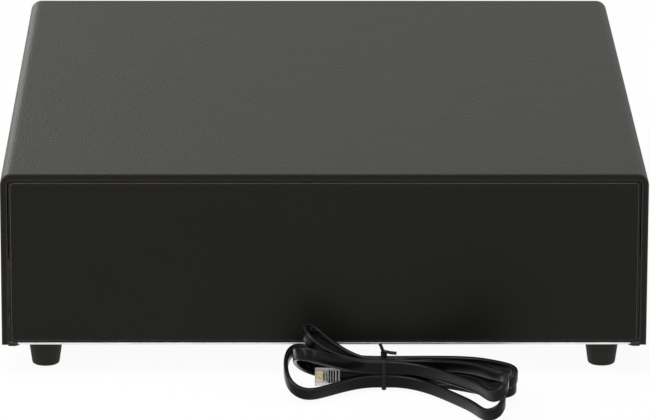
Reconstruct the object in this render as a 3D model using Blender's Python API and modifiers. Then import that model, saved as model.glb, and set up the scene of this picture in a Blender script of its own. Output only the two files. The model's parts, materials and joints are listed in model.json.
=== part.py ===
"""Compact steel cash drawer on rubber feet, with a tied hank of flat modular cable behind it.

Metres, +Z up. The origin is the middle of the footprint, on the surface that the feet stand on.
The drawer opens towards -Y, and the cable leaves at the back, +Y.
"""

import math
from collections import namedtuple

import bmesh
import bpy
import numpy as np
from mathutils import Matrix, Vector

# Clearances
GAP = 0.0003
PLAY = 0.0005
GROOVE = 0.0006

# Case sheet metal
WIDTH = 0.350
DEPTH = 0.405
HEIGHT = 0.1135
SHEET = 0.001
COVER_BEND = 0.0063
FOLD = 0.0008
HEM = 0.0038
FLANGE_WIDTH = 0.0095
FLANGE_CHAMFER = 0.0022
TAB_SLANT = 0.0016
TAB_LIFT = 0.0006
NOTCH_DEPTH = 0.005
PANEL_RIM = 0.0010
PANEL_STEP = 0.0006
REAR_STEP = 0.0011
PANEL_RETURN = 0.008
PANEL_CORNER = 0.002
REAR_SINK = 0.0002
FRONT_SINK = 0.0015

# Feet and screws
FOOT_HEIGHT = 0.0172
FOOT_TOP_RADIUS = 0.0098
FOOT_BOTTOM_RADIUS = 0.0076
FOOT_ROUND = 0.0015
FOOT_SIDE_INSET = 0.0228
FOOT_END_INSET = 0.024
FOOT_RECESS_RADIUS = 0.0044
FOOT_RECESS_DEPTH = 0.009
SCREW_RADIUS = 0.0017
SCREW_HEAD_RADIUS = 0.0034
SCREW_HEAD_HEIGHT = 0.0022
COVER_SCREW_INSET = 0.0525

# Runners
CHANNEL_SHEET = 0.0012
CHANNEL_REACH = 0.0088
CHANNEL_FOOT = 0.011
CHANNEL_SIDE_GAP = 0.0018
CHANNEL_FRONT_GAP = 0.0015
CHANNEL_REAR_GAP = 0.010
ROLLER_RADIUS = 0.007
ROLLER_WIDTH = 0.006
ROLLER_HEIGHT = 0.034
ROLLER_EDGE = 0.0006
AXLE_RADIUS = 0.002
AXLE_HEAD_RADIUS = 0.0035
AXLE_HEAD = 0.0008
RAIL_SHEET = 0.001
RAIL_LIFT = 0.0013
RAIL_EDGE_GAP = 0.001
RAIL_DEPTH = 0.0172
FRONT_ROLLER_BACK = 0.008
REAR_ROLLER_BACK = 0.010

# Drawer
RUNNER_ROOM = 0.011
TRAY_REAR_ROOM = 0.0525
TRAY_LIFT = 0.0035
TRAY_HEIGHT = 0.046

# Till insert and coin tray
TILL_WALL = 0.002
TILL_FLOOR = 0.002
TILL_DROP = 0.002
BILL_BAYS = 4
COIN_CUPS = 5
COIN_LENGTH = 0.110
CLIP_ROD_RADIUS = 0.002
CLIP_ROD_BACK = 0.0205
CLIP_ROD_DROP = 0.005
CLIP_WIDTH = 0.030
CLIP_SHEET = 0.002
CLIP_HUB_RADIUS = 0.0045
CLIP_REACH = 0.098
CLIP_KNEE = 0.055
CLIP_KNEE_DROP = 0.012
CLIP_HEEL = 0.084
CLIP_TOE_LIFT = 0.0025

# Lock
LOCK_BELOW_TOP = 0.0315
LOCK_RADIUS = 0.008
LOCK_BEZEL_RADIUS = 0.0105
LOCK_BEZEL = 0.001
LOCK_LENGTH = 0.025
LOCK_BORE_RADIUS = 0.0055
LOCK_TAIL_RADIUS = 0.003
LOCK_NUT_RADIUS = 0.0125
LOCK_NUT_HEIGHT = 0.003
KEYWAY_WIDTH = 0.0018
KEYWAY_HEIGHT = 0.007
KEYWAY_DEPTH = 0.014
CAM_SHEET = 0.002
CAM_WIDTH = 0.011
CAM_LENGTH = 0.026
KEEPER_SHEET = 0.0015
KEEPER_WIDTH = 0.024
KEEPER_FOOT = 0.018
KEEPER_DROP = 0.018

# Latch and solenoid
BRACKET_SHEET = 0.0015
BRACKET_CORNER = 0.004
LATCH_X = -0.050
LATCH_BACK = 0.034
LATCH_HEIGHT = 0.0155
LEVER_SHEET = 0.003
LEVER_HALF_WIDTH = 0.0035
LEVER_EYE_RADIUS = 0.006
LEVER_LENGTH = 0.0245
HOOK_LENGTH = 0.005
HOOK_REACH = 0.009
LATCH_SWING = math.radians(18)
LATCH_PIN_RADIUS = 0.0025
LATCH_COLLAR_RADIUS = 0.0045
LINK_ARM = 0.012
LINK_PIN_RADIUS = 0.0015
STRIKER_SHEET = 0.0015
STRIKER_HEIGHT = 0.009
STRIKER_FOOT = 0.017
SOLENOID_STANDOFF = 0.0185
SOLENOID_LENGTH = 0.0375
SOLENOID_WIDTH = 0.022
SOLENOID_HEIGHT = 0.0254
COIL_RADIUS = 0.0105
COIL_WAIST = 0.001
COIL_FLANGE = 0.0015
PLUNGER_RADIUS = 0.004
PLUNGER_LENGTH = 0.038
TONGUE_SHEET = 0.0024
TONGUE_WIDTH = 0.006

# Kick spring, switch and grommet
SPRING_X = 0.060
SPRING_HEIGHT = 0.0215
SPRING_RADIUS = 0.0065
SPRING_WIRE_RADIUS = 0.0008
SPRING_TURNS = 8
SPRING_POINTS = 10
POST_RADIUS = 0.004
POST_LENGTH = 0.025
SPRING_BRACKET_WIDTH = 0.024
SPRING_BRACKET_HEIGHT = 0.033
SPRING_BRACKET_FOOT = 0.020
SWITCH_X = 0.110
SWITCH_WIDTH = 0.020
SWITCH_DEPTH = 0.0195
SWITCH_HEIGHT = 0.0152
SWITCH_STANDOFF = 0.0085
BUTTON_RADIUS = 0.0025
BUTTON_HEIGHT = 0.0085
BUTTON_LENGTH = 0.0142
BUTTON_TRAVEL = 0.0015
GROMMET_X = 0.008
GROMMET_BACK = 0.0225
GROMMET_NECK_RADIUS = 0.0062
GROMMET_FLANGE_RADIUS = 0.0085
GROMMET_FLANGE = 0.0015
INNER_LEAD_RADIUS = 0.0018

# Flat cable, its hank and what is on it
CABLE_WIDTH = 0.007
CABLE_THICKNESS = 0.0024
CABLE_ROUND = 0.0006
WAIST_X = -0.032
WAIST_BEHIND = 0.0174
WAIST_HALF_LENGTH = 0.004
SLOT_PITCH = 0.0032
ROW_PITCH = 0.0078
TIE_WIDTH = 0.003
TIE_SHEET = 0.001
TIE_LIFT = 0.0001
TIE_CLEARANCE = 0.0004
TIE_CORNER = 0.0018
TIE_TAIL_RADIUS = 0.0007
TIE_TAIL_SINK = 0.0003
LOOP_POINTS = 24
TWIST_RATE = 1.6
PLUG_LENGTH = 0.0135
PLUG_WIDTH = 0.00965
PLUG_THICKNESS = 0.0066
PLUG_LIFT = 0.0003
PLUG_STRETCH = 0.0194
PLUG_POINTS = 7

# Levels, from the floor up
BASE_BOTTOM = FOOT_HEIGHT + GAP
BASE_TOP = BASE_BOTTOM + SHEET
FLANGE_TOP = BASE_BOTTOM - GAP
COVER_BOTTOM = FLANGE_TOP - SHEET
TAB_BOTTOM = COVER_BOTTOM + TAB_LIFT
TAB_X = WIDTH / 2 - FLANGE_WIDTH + FLANGE_CHAMFER - TAB_SLANT
CEILING = HEIGHT - SHEET
DECK = BASE_TOP + GAP
BRACKET_TOP = DECK + BRACKET_SHEET
MOUTH_X = WIDTH / 2 - HEM
MOUTH_TOP = HEIGHT - HEM
PANEL_X = MOUTH_X - GROOVE
PANEL_TOP = MOUTH_TOP - GROOVE
REAR_FACE = DEPTH / 2 - REAR_SINK
FRONT_FACE = -DEPTH / 2 + FRONT_SINK
PANEL_BACK = PANEL_STEP + SHEET

# Runner levels: the rear rollers run inside the channels, and the rails on the front rollers
CHANNEL_X = WIDTH / 2 - SHEET - CHANNEL_SIDE_GAP - CHANNEL_SHEET
TRAY_HALF_WIDTH = CHANNEL_X - RUNNER_ROOM
REAR_ROLLER_Z = BASE_TOP + ROLLER_HEIGHT
TRACK_LOW = REAR_ROLLER_Z - ROLLER_RADIUS - PLAY
TRACK_HIGH = REAR_ROLLER_Z + ROLLER_RADIUS + PLAY
CHANNEL_TOP = TRACK_HIGH + CHANNEL_SHEET
RAIL_Z = CHANNEL_TOP + RAIL_LIFT
FRONT_ROLLER_Z = RAIL_Z - GAP - ROLLER_RADIUS

# Drawer levels
TRAY_FRONT = FRONT_FACE + PANEL_STEP + PANEL_RETURN + GAP
TRAY_REAR = DEPTH / 2 - TRAY_REAR_ROOM
TRAY_BOTTOM = BASE_TOP + TRAY_LIFT
TRAY_TOP = TRAY_BOTTOM + TRAY_HEIGHT
CHANNEL_FRONT = TRAY_FRONT + CHANNEL_FRONT_GAP
CHANNEL_REAR = REAR_FACE - PANEL_STEP - PANEL_RETURN - CHANNEL_REAR_GAP
FRONT_ROLLER_Y = CHANNEL_FRONT + FRONT_ROLLER_BACK
REAR_ROLLER_Y = TRAY_REAR - REAR_ROLLER_BACK
RAIL_X = TRAY_HALF_WIDTH + GAP
ROLLER_LOW_X = RAIL_X + RAIL_SHEET + AXLE_HEAD + 3 * GAP
ROLLER_HIGH_X = ROLLER_LOW_X + ROLLER_WIDTH
TILL_X = TRAY_HALF_WIDTH - SHEET - PLAY
TILL_BOTTOM = TRAY_BOTTOM + SHEET + GAP
TILL_TOP = TRAY_TOP - TILL_DROP
TILL_DECK = TILL_BOTTOM + TILL_FLOOR
TILL_REAR = TRAY_REAR - SHEET - PLAY
COIN_FRONT = TRAY_FRONT + SHEET + PLAY
COIN_REAR = COIN_FRONT + COIN_LENGTH
TILL_FRONT = COIN_REAR + PLAY
CLIP_Y = TILL_REAR - CLIP_ROD_BACK
CLIP_Z = TILL_TOP - CLIP_ROD_DROP

# Lock levels
LOCK_Z = HEIGHT - LOCK_BELOW_TOP
LOCK_FRONT = FRONT_FACE - GAP - LOCK_BEZEL
LOCK_REAR = FRONT_FACE + LOCK_LENGTH
CAM_FRONT = LOCK_REAR + PLAY
KEEPER_BACK = CAM_FRONT - PLAY

# Latch levels
LATCH_Y = TRAY_REAR + LATCH_BACK
LEVER_BOTTOM = DECK + LATCH_HEIGHT
LEVER_TOP = LEVER_BOTTOM + LEVER_SHEET
LINK_TRAVEL = LINK_ARM * math.tan(LATCH_SWING)
PLUNGER_Y = LATCH_Y - LINK_ARM
PLUNGER_Z = LEVER_BOTTOM + PLAY
SOLENOID_FRONT = LATCH_X - SOLENOID_STANDOFF
SOLENOID_BACK = SOLENOID_FRONT - SOLENOID_LENGTH

# Spring, switch and grommet places
SPRING_WALL = LATCH_Y + LEVER_EYE_RADIUS
SPRING_Z = BASE_TOP + SPRING_HEIGHT
SWITCH_FRONT = TRAY_REAR + SWITCH_STANDOFF
BUTTON_Z = BASE_TOP + BUTTON_HEIGHT
GROMMET_Y = DEPTH / 2 - GROMMET_BACK
GROMMET_TOP = BASE_TOP + GAP + GROMMET_FLANGE
GROMMET_BOTTOM = BASE_BOTTOM - GAP - GROMMET_FLANGE

# Hank levels: the tie passes under the lower row, and the rows stand on edge
WAIST_Y = DEPTH / 2 + WAIST_BEHIND
LOW_ROW = TIE_LIFT + TIE_SHEET + TIE_CLEARANCE + CABLE_WIDTH / 2
HIGH_ROW = LOW_ROW + ROW_PITCH

# Colours, linear
BLACK_PAINT = (0.040, 0.039, 0.037, 1)
PANEL_PAINT = (0.016, 0.0155, 0.0145, 1)
ZINC = (0.62, 0.63, 0.64, 1)
STEEL = (0.45, 0.45, 0.46, 1)
RUBBER = (0.020, 0.020, 0.018, 1)
BLACK_PLASTIC = (0.018, 0.018, 0.019, 1)
NYLON = (0.78, 0.77, 0.72, 1)
COPPER = (0.55, 0.22, 0.10, 1)
CABLE_BLACK = (0.012, 0.012, 0.012, 1)
CLEAR_PLASTIC = (0.80, 0.82, 0.82, 1)

ROUND_STEPS = 24
BEND_STEPS = 6
SIDES = {"left": -1, "right": 1}
ENDS = {"front": -1, "rear": 1}

# Frames that stand an outline or a turned profile up along an axis
OUTLINE_FRAMES = {
    "X": Matrix(((0, 0, 1), (1, 0, 0), (0, 1, 0))).to_4x4(),
    "Y": Matrix(((1, 0, 0), (0, 0, -1), (0, 1, 0))).to_4x4(),
    "Z": Matrix.Identity(4),
}
TURN_FRAMES = {
    "X": Matrix(((0, 0, 1), (1, 0, 0), (0, 1, 0))).to_4x4(),
    "Y": Matrix(((1, 0, 0), (0, 0, 1), (0, -1, 0))).to_4x4(),
    "Z": Matrix.Identity(4),
}
AXES = {"X": Vector((1, 0, 0)), "Y": Vector((0, 1, 0)), "Z": Vector((0, 0, 1))}

# One lobe of the hank: the side it leaves the waist on, the waist slots it joins (column, row), how far
# it reaches, how wide it swells, how its plane tilts, and where its far end leans to
Lobe = namedtuple("Lobe", "side start end reach swell tilt lean rise")
LOW, HIGH = 0, 1
LOBES = (
    Lobe(-1, (0, HIGH), (1, HIGH), 0.06572, -0.00888, 19.12, 0.03611, 0.00232),
    Lobe(1, (1, HIGH), (2, HIGH), 0.03846, -0.01080, 5.99, -0.00250, 0.01792),
    Lobe(-1, (2, HIGH), (3, HIGH), 0.05923, -0.00914, 25.12, 0.06600, 0.00870),
    Lobe(1, (3, HIGH), (0, LOW), 0.04404, 0.02573, -21.46, 0.01138, 0.01218),
    Lobe(-1, (0, LOW), (1, LOW), 0.06604, -0.00790, 12.44, 0.02315, 0.00084),
    Lobe(1, (1, LOW), (3, LOW), 0.04894, -0.02396, 19.05, 0.00979, 0.00988),
    Lobe(-1, (3, LOW), (2, LOW), 0.05725, 0.01454, 19.17, 0.06122, 0.00507),
)
PLUG_SLOT = (2, LOW)
LEAD_SLOT = (0, HIGH)

# Route of the free lead: steps from the grommet's mouth, then from the waist; it twists on to its edge
# between these shares of its length, counted from 0 to 1
LEAD_DROP = ((0, 0, -GAP), (0, 0, -0.0035), (-0.0005, 0.0035, -0.0082))
LEAD_RUN = ((-0.002, 0.011, -0.0095), (-0.007, 0.021, -0.0067))
LEAD_FROM_GROMMET = np.array(LEAD_DROP + LEAD_RUN)
LEAD_TO_WAIST = np.array(((0.020, -0.0085, -0.0004), (0.012, -0.0030, 0), (0.007, -0.0009, 0), (GAP, 0, 0)))
LEAD_TWIST = (-0.25, 1.5)
LEAD_POINTS = 26

# The tie's two free tails, as steps from its knot
TIE_TAILS = {
    "upper": np.array(((-0.0010, 0, 0), (0.0006, 0.0010, 0.0012), (0.0022, 0.0015, 0.0052))),
    "lower": np.array(((0.0010, 0.0020, 0), (-0.0022, 0.0026, 0.0005), (-0.0068, 0.0030, 0.0002))),
}


for old in list(bpy.data.objects):
    bpy.data.objects.remove(old, do_unlink=True)

PARTS = bpy.data.collections.new("cash_drawer")
CUTTERS = bpy.data.collections.new("cutters")
bpy.context.scene.collection.children.link(PARTS)
bpy.context.scene.collection.children.link(CUTTERS)


# Outlines


def arc(centre, radius, start, end, steps=BEND_STEPS):
    """Points on a circle, angles in degrees."""
    angles = np.radians(np.linspace(start, end, steps + 1))
    return [(centre[0] + radius * math.cos(a), centre[1] + radius * math.sin(a)) for a in angles]


def circle(centre, radius, steps=ROUND_STEPS):
    return arc(centre, radius, 0, 360 * (steps - 1) / steps, steps - 1)


def arch(half_width, bottom, top, radius):
    """A rectangle whose two upper corners are round."""
    right = arc((half_width - radius, top - radius), radius, 0, 90)
    left = arc((radius - half_width, top - radius), radius, 90, 180)
    return [(half_width, bottom)] + right + left + [(-half_width, bottom)]


def rounded(low, high, radius):
    """A rectangle with four round corners."""
    (x0, y0), (x1, y1) = low, high
    return (
        arc((x1 - radius, y1 - radius), radius, 0, 90)
        + arc((x0 + radius, y1 - radius), radius, 90, 180)
        + arc((x0 + radius, y0 + radius), radius, 180, 270)
        + arc((x1 - radius, y0 + radius), radius, 270, 360)
    )


def flipped(outline, side):
    return [(side * a, b) for a, b in outline]


# Solids


def as_mesh(curve_object):
    """The curve's solid as a mesh object in its place, with its caps welded."""
    bpy.context.view_layer.update()
    graph = bpy.context.evaluated_depsgraph_get()
    mesh = bpy.data.meshes.new_from_object(curve_object.evaluated_get(graph))
    work = bmesh.new()
    work.from_mesh(mesh)
    bmesh.ops.remove_doubles(work, verts=work.verts, dist=GAP / 100)
    bmesh.ops.recalc_face_normals(work, faces=work.faces)
    work.to_mesh(mesh)
    work.free()
    name = curve_object.name
    matrix = curve_object.matrix_world.copy()
    bpy.data.objects.remove(curve_object, do_unlink=True)
    mesh.name = name
    solid = bpy.data.objects.new(name, mesh)
    solid.matrix_world = matrix
    PARTS.objects.link(solid)
    return solid


def outline_curve(name, outlines, closed=True):
    curve = bpy.data.curves.new(name, "CURVE")
    curve.dimensions = "2D"
    curve.fill_mode = "BOTH" if closed else "NONE"
    for outline in outlines:
        spline = curve.splines.new("POLY")
        spline.points.add(len(outline) - 1)
        for point, place in zip(spline.points, outline):
            point.co = (place[0], place[1], 0, 1)
        spline.use_cyclic_u = closed
    return curve


def prism(name, outlines, axis, low, high, origin=(0, 0, 0), turn=0):
    """A flat outline, with holes where outlines lie inside it, from low to high along an axis."""
    curve = outline_curve(name, outlines)
    curve.extrude = (high - low) / 2
    made = bpy.data.objects.new(name, curve)
    PARTS.objects.link(made)
    place = Vector(origin) + AXES[axis] * (low + high) / 2
    made.matrix_world = Matrix.Translation(place) @ Matrix.Rotation(turn, 4, axis) @ OUTLINE_FRAMES[axis]
    return as_mesh(made)


def box(name, low, high):
    """A block between two corners."""
    work = bmesh.new()
    bmesh.ops.create_cube(work, size=1)
    span = Vector(high) - Vector(low)
    bmesh.ops.scale(work, vec=span, verts=work.verts)
    mesh = bpy.data.meshes.new(name)
    work.to_mesh(mesh)
    work.free()
    made = bpy.data.objects.new(name, mesh)
    made.location = (Vector(low) + Vector(high)) / 2
    PARTS.objects.link(made)
    return made


def turned(name, profile, axis, origin=(0, 0, 0), hollow=False, steps=ROUND_STEPS):
    """A profile of (radius, height) points turned about an axis, listed from the top down its outside."""
    work = bmesh.new()
    points = [work.verts.new((radius, 0, height)) for radius, height in profile]
    for first, second in zip(points, points[1:]):
        work.edges.new((first, second))
    if hollow:
        work.edges.new((points[-1], points[0]))
    mesh = bpy.data.meshes.new(name)
    work.to_mesh(mesh)
    work.free()
    made = bpy.data.objects.new(name, mesh)
    made.matrix_world = Matrix.Translation(origin) @ TURN_FRAMES[axis]
    PARTS.objects.link(made)
    screw = made.modifiers.new("turn", "SCREW")
    screw.steps = steps
    screw.render_steps = steps
    screw.use_merge_vertices = True
    screw.merge_threshold = GAP / 100
    return made


def rod(name, radius, axis, low, high, origin=(0, 0, 0), steps=ROUND_STEPS):
    return turned(name, [(0, high), (radius, high), (radius, low), (0, low)], axis, origin, steps=steps)


def strip(name, points, axis, width, thickness, origin):
    """A bent strip of sheet, from an open outline."""
    curve = outline_curve(name, [points], closed=False)
    curve.extrude = width / 2
    made = bpy.data.objects.new(name, curve)
    PARTS.objects.link(made)
    made.matrix_world = Matrix.Translation(origin) @ OUTLINE_FRAMES[axis]
    made = as_mesh(made)
    solid = made.modifiers.new("sheet", "SOLIDIFY")
    solid.thickness = thickness
    solid.offset = 0
    solid.use_even_offset = True
    return made


def wire(name, points, radius, resolution):
    """A round wire or tube along points."""
    curve = bpy.data.curves.new(name, "CURVE")
    curve.dimensions = "3D"
    curve.bevel_depth = radius
    curve.bevel_resolution = resolution
    curve.use_fill_caps = True
    spline = curve.splines.new("POLY")
    spline.points.add(len(points) - 1)
    for point, place in zip(spline.points, points):
        point.co = (*place, 1)
    made = bpy.data.objects.new(name, curve)
    PARTS.objects.link(made)
    return made


def helper(solid):
    """Puts a cutter, or the second half of a union, among the hidden helpers."""
    PARTS.objects.unlink(solid)
    CUTTERS.objects.link(solid)
    solid.hide_render = True
    solid.display_type = "WIRE"
    return solid


def boolean(target, other, operation):
    modifier = target.modifiers.new(other.name, "BOOLEAN")
    modifier.operation = operation
    modifier.object = helper(other)


def cut(target, *cutters):
    for cutter in cutters:
        boolean(target, cutter, "DIFFERENCE")


def join(target, *others):
    for other in others:
        boolean(target, other, "UNION")


def soften(target, width, segments=2):
    bevel = target.modifiers.new("edge", "BEVEL")
    bevel.width = width
    bevel.segments = segments
    bevel.limit_method = "ANGLE"
    bevel.angle_limit = math.radians(40)


def finish(name, colour, roughness, metallic, *solids):
    """Gives the pieces one Principled material."""
    material = bpy.data.materials.new(name)
    material.use_nodes = True
    shader = material.node_tree.nodes["Principled BSDF"]
    shader.inputs["Base Color"].default_value = colour
    shader.inputs["Roughness"].default_value = roughness
    shader.inputs["Metallic"].default_value = metallic
    for solid in solids:
        solid.data.materials.append(material)


def carrier(name, place, parent=None):
    """An empty on a moving body's axis."""
    empty = bpy.data.objects.new(name, None)
    PARTS.objects.link(empty)
    empty.location = place
    empty.parent = parent
    if parent:
        empty.location = Vector(place) - parent.location
    return empty


def carry(empty, *solids):
    """Parents pieces to an empty and leaves them in place."""
    bpy.context.view_layer.update()
    for solid in solids:
        solid.parent = empty
        solid.matrix_parent_inverse = empty.matrix_world.inverted()


# Case


def corner_places(x, y):
    """The four corners of a rectangle about the middle, by name."""
    return {f"{end}_{side}": (SIDES[side] * x, ENDS[end] * y) for end in ENDS for side in SIDES}


FOOT_PLACES = corner_places(WIDTH / 2 - FOOT_SIDE_INSET, DEPTH / 2 - FOOT_END_INSET)
COVER_SCREW_PLACES = corner_places(WIDTH / 2 - FLANGE_WIDTH / 2, DEPTH / 2 - COVER_SCREW_INSET)


def make_cover():
    """Folded cover with a hem round both ends and a flange under each side."""
    shell = arch(WIDTH / 2, COVER_BOTTOM, HEIGHT, COVER_BEND)
    cover = prism("outer_cover", [shell], "Y", -DEPTH / 2, DEPTH / 2)
    soften(cover, FOLD)
    inside = arch(WIDTH / 2 - SHEET, FLANGE_TOP, CEILING, COVER_BEND - SHEET)
    cut(cover, prism("cover_inside", [inside], "Y", SHEET - DEPTH / 2, DEPTH / 2 - SHEET))
    hem_back = DEPTH / 2 - 1.5 * SHEET
    below = COVER_BOTTOM - SHEET
    wide = MOUTH_X + 2 * GAP
    foot = [(wide, below), (wide, TAB_BOTTOM), (TAB_X + TAB_SLANT, TAB_BOTTOM), (TAB_X, BASE_TOP)]
    mouth = foot + arch(MOUTH_X, BASE_TOP, MOUTH_TOP, PANEL_CORNER + GROOVE)
    mouth += flipped(reversed(foot), -1)
    for end, sign in ENDS.items():
        low, high = sorted((sign * hem_back, sign * (DEPTH / 2 + SHEET)))
        cut(cover, prism(f"cover_mouth_{end}", [mouth], "Y", low, high))
    inner = WIDTH / 2 - FLANGE_WIDTH
    outer = inner + FLANGE_CHAMFER
    turn = hem_back - FLANGE_CHAMFER
    half = [(outer, -hem_back), (inner, -turn), (inner, turn), (outer, hem_back)]
    floor = half + flipped(reversed(half), -1)
    cut(cover, prism("cover_floor", [floor], "Z", below, FLANGE_TOP + SHEET / 2))
    notch_back = DEPTH / 2 - NOTCH_DEPTH
    for name, (x, y) in corner_places(1, 1).items():
        low_x, high_x = sorted((x * (MOUTH_X + GAP), x * WIDTH))
        low_y, high_y = sorted((y * notch_back, y * DEPTH))
        high = (high_x, high_y, FLANGE_TOP + GAP / 2)
        cut(cover, box(f"cover_notch_{name}", (low_x, low_y, below), high))
    for name, place in COVER_SCREW_PLACES.items():
        ends = (COVER_BOTTOM - SHEET, FLANGE_TOP + SHEET)
        cut(cover, rod(f"cover_hole_{name}", SCREW_RADIUS + GAP, "Z", *ends, (*place, 0)))
    return cover


def make_panel(name, face, outward, step):
    """Sheet panel with a field raised by a step, a rim round it and returns into the case."""

    def layer(suffix, inset, front, back):
        low, high = sorted((face - outward * front, face - outward * back))
        outline = arch(PANEL_X - inset, DECK + inset, PANEL_TOP - inset, PANEL_CORNER)
        return prism(name + suffix, [outline], "Y", low, high)

    depth = PANEL_STEP + PANEL_RETURN
    panel = layer("", 0, step, depth)
    cut(panel, layer("_inside", SHEET, step + SHEET, depth + SHEET))
    field = layer("_field", PANEL_RIM, 0, step + SHEET / 2)
    soften(field, step / 2)
    join(panel, field)
    return panel


def make_base():
    """Bright base plate, with its front and rear edges showing under the panels."""
    side = WIDTH / 2 - SHEET - GAP
    end = DEPTH / 2 - SHEET - GAP
    tongue = DEPTH / 2 - GAP
    quarter = [(side, end), (TAB_X - GAP, end), (TAB_X - GAP, tongue)]
    rear = quarter + [(-x, y) for x, y in reversed(quarter)]
    outline = rear + [(-x, -y) for x, y in rear]
    holes = [circle(place, SCREW_RADIUS + GAP) for place in FOOT_PLACES.values()]
    holes += [circle(place, SCREW_RADIUS + GAP) for place in COVER_SCREW_PLACES.values()]
    holes.append(circle((GROMMET_X, GROMMET_Y), GROMMET_NECK_RADIUS + GAP))
    return prism("base_plate", [outline, *holes], "Z", BASE_BOTTOM, BASE_TOP)


def make_foot(name, place):
    """Tapered rubber foot with a recess for its screw."""
    hole = SCREW_RADIUS + GAP
    corner = arc((FOOT_BOTTOM_RADIUS - FOOT_ROUND, FOOT_ROUND), FOOT_ROUND, 0, -90, 4)
    profile = [(FOOT_TOP_RADIUS, FOOT_HEIGHT), *corner]
    profile += [(FOOT_RECESS_RADIUS, 0), (FOOT_RECESS_RADIUS, FOOT_RECESS_DEPTH)]
    profile += [(hole, FOOT_RECESS_DEPTH), (hole, FOOT_HEIGHT)]
    return turned(f"foot_{name}", profile, "Z", (*place, 0), hollow=True)


def make_screw(name, place, seat):
    """Pan-head screw, driven up from under its seat into the base."""
    head_top = seat - GAP
    head_bottom = head_top - SCREW_HEAD_HEIGHT
    crown = SCREW_HEAD_HEIGHT / 2
    profile = [(0, BASE_TOP), (SCREW_RADIUS, BASE_TOP), (SCREW_RADIUS, head_top)]
    profile += [(SCREW_HEAD_RADIUS, head_top), (SCREW_HEAD_RADIUS, head_bottom + crown)]
    profile += [(SCREW_HEAD_RADIUS - crown, head_bottom), (0, head_bottom)]
    return turned(name, profile, "Z", (*place, 0), steps=12)


def make_case():
    cover = make_cover()
    rear = make_panel("rear_panel", REAR_FACE, 1, REAR_STEP)
    base = make_base()
    feet = [make_foot(name, place) for name, place in FOOT_PLACES.items()]
    screws = [make_screw(f"foot_screw_{n}", p, FOOT_RECESS_DEPTH) for n, p in FOOT_PLACES.items()]
    screws += [make_screw(f"cover_screw_{n}", p, COVER_BOTTOM) for n, p in COVER_SCREW_PLACES.items()]
    finish("grained_paint", BLACK_PAINT, 0.55, 0.0, cover)
    finish("panel_paint", PANEL_PAINT, 0.45, 0.0, rear)
    finish("zinc_plate", ZINC, 0.35, 1.0, base)
    finish("rubber", RUBBER, 0.8, 0.0, *feet)
    finish("screw_steel", STEEL, 0.35, 1.0, *screws)


# Runners


def make_channel(name, side):
    """Channel on the base, with a lower and an upper track flange, cut back in front for its roller."""
    outer = CHANNEL_X + CHANNEL_SHEET
    inner = CHANNEL_X - CHANNEL_REACH
    foot = CHANNEL_X - CHANNEL_FOOT
    outline = [(outer, DECK), (outer, CHANNEL_TOP), (inner, CHANNEL_TOP), (inner, TRACK_HIGH)]
    outline += [(CHANNEL_X, TRACK_HIGH), (CHANNEL_X, TRACK_LOW), (inner, TRACK_LOW)]
    outline += [(inner, TRACK_LOW - CHANNEL_SHEET), (CHANNEL_X, TRACK_LOW - CHANNEL_SHEET)]
    outline += [(CHANNEL_X, DECK + CHANNEL_SHEET), (foot, DECK + CHANNEL_SHEET), (foot, DECK)]
    channel = prism(f"slide_channel_{name}", [flipped(outline, side)], "Y", CHANNEL_FRONT, CHANNEL_REAR)
    notch_low = FRONT_ROLLER_Z + AXLE_RADIUS + SHEET
    notch_rear = FRONT_ROLLER_Y + ROLLER_RADIUS + CHANNEL_FRONT_GAP
    low_x, high_x = sorted((side * foot, side * (outer + SHEET)))
    low = (low_x, CHANNEL_FRONT - SHEET, notch_low)
    high = (high_x, notch_rear, CHANNEL_TOP + SHEET)
    cut(channel, box(f"channel_notch_{name}", low, high))
    ends = sorted((side * (CHANNEL_X - SHEET), side * (outer + SHEET)))
    place = (0, FRONT_ROLLER_Y, FRONT_ROLLER_Z)
    cut(channel, rod(f"channel_hole_{name}", AXLE_RADIUS + GAP, "X", *ends, place))
    return channel


def make_axle(name, side, place, head_at, collar, tip):
    """Headed pin along X with a collar; head_at, collar and tip are distances from the middle."""
    head = [(AXLE_HEAD_RADIUS, head_at[1]), (AXLE_HEAD_RADIUS, head_at[0])]
    ring = [(AXLE_HEAD_RADIUS, collar[1]), (AXLE_HEAD_RADIUS, collar[0])]
    ordered = sorted((head, ring), key=lambda pair: -pair[0][1])
    profile = []
    for pair in ordered:
        profile += [(AXLE_RADIUS, pair[0][1]), *pair, (AXLE_RADIUS, pair[1][1])]
    high = max(tip, profile[0][1])
    low = min(tip, profile[-1][1])
    profile = [(0, high), (AXLE_RADIUS, high), *profile, (AXLE_RADIUS, low), (0, low)]
    profile = [point for i, point in enumerate(profile) if i == 0 or point != profile[i - 1]]
    if side < 0:
        profile = [(radius, -height) for radius, height in reversed(profile)]
    return turned(name, profile, "X", (0, *place), steps=16)


def make_roller(name, side, y, z):
    """Nylon roller with eased rims."""
    bore = AXLE_RADIUS + GAP
    half = ROLLER_WIDTH / 2
    rim = ROLLER_RADIUS - ROLLER_EDGE
    profile = [(rim, half), (ROLLER_RADIUS, half - ROLLER_EDGE), (ROLLER_RADIUS, ROLLER_EDGE - half)]
    profile += [(rim, -half), (bore, -half), (bore, half)]
    middle = side * (ROLLER_LOW_X + half)
    return turned(name, profile, "X", (middle, y, z), hollow=True, steps=32)


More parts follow.
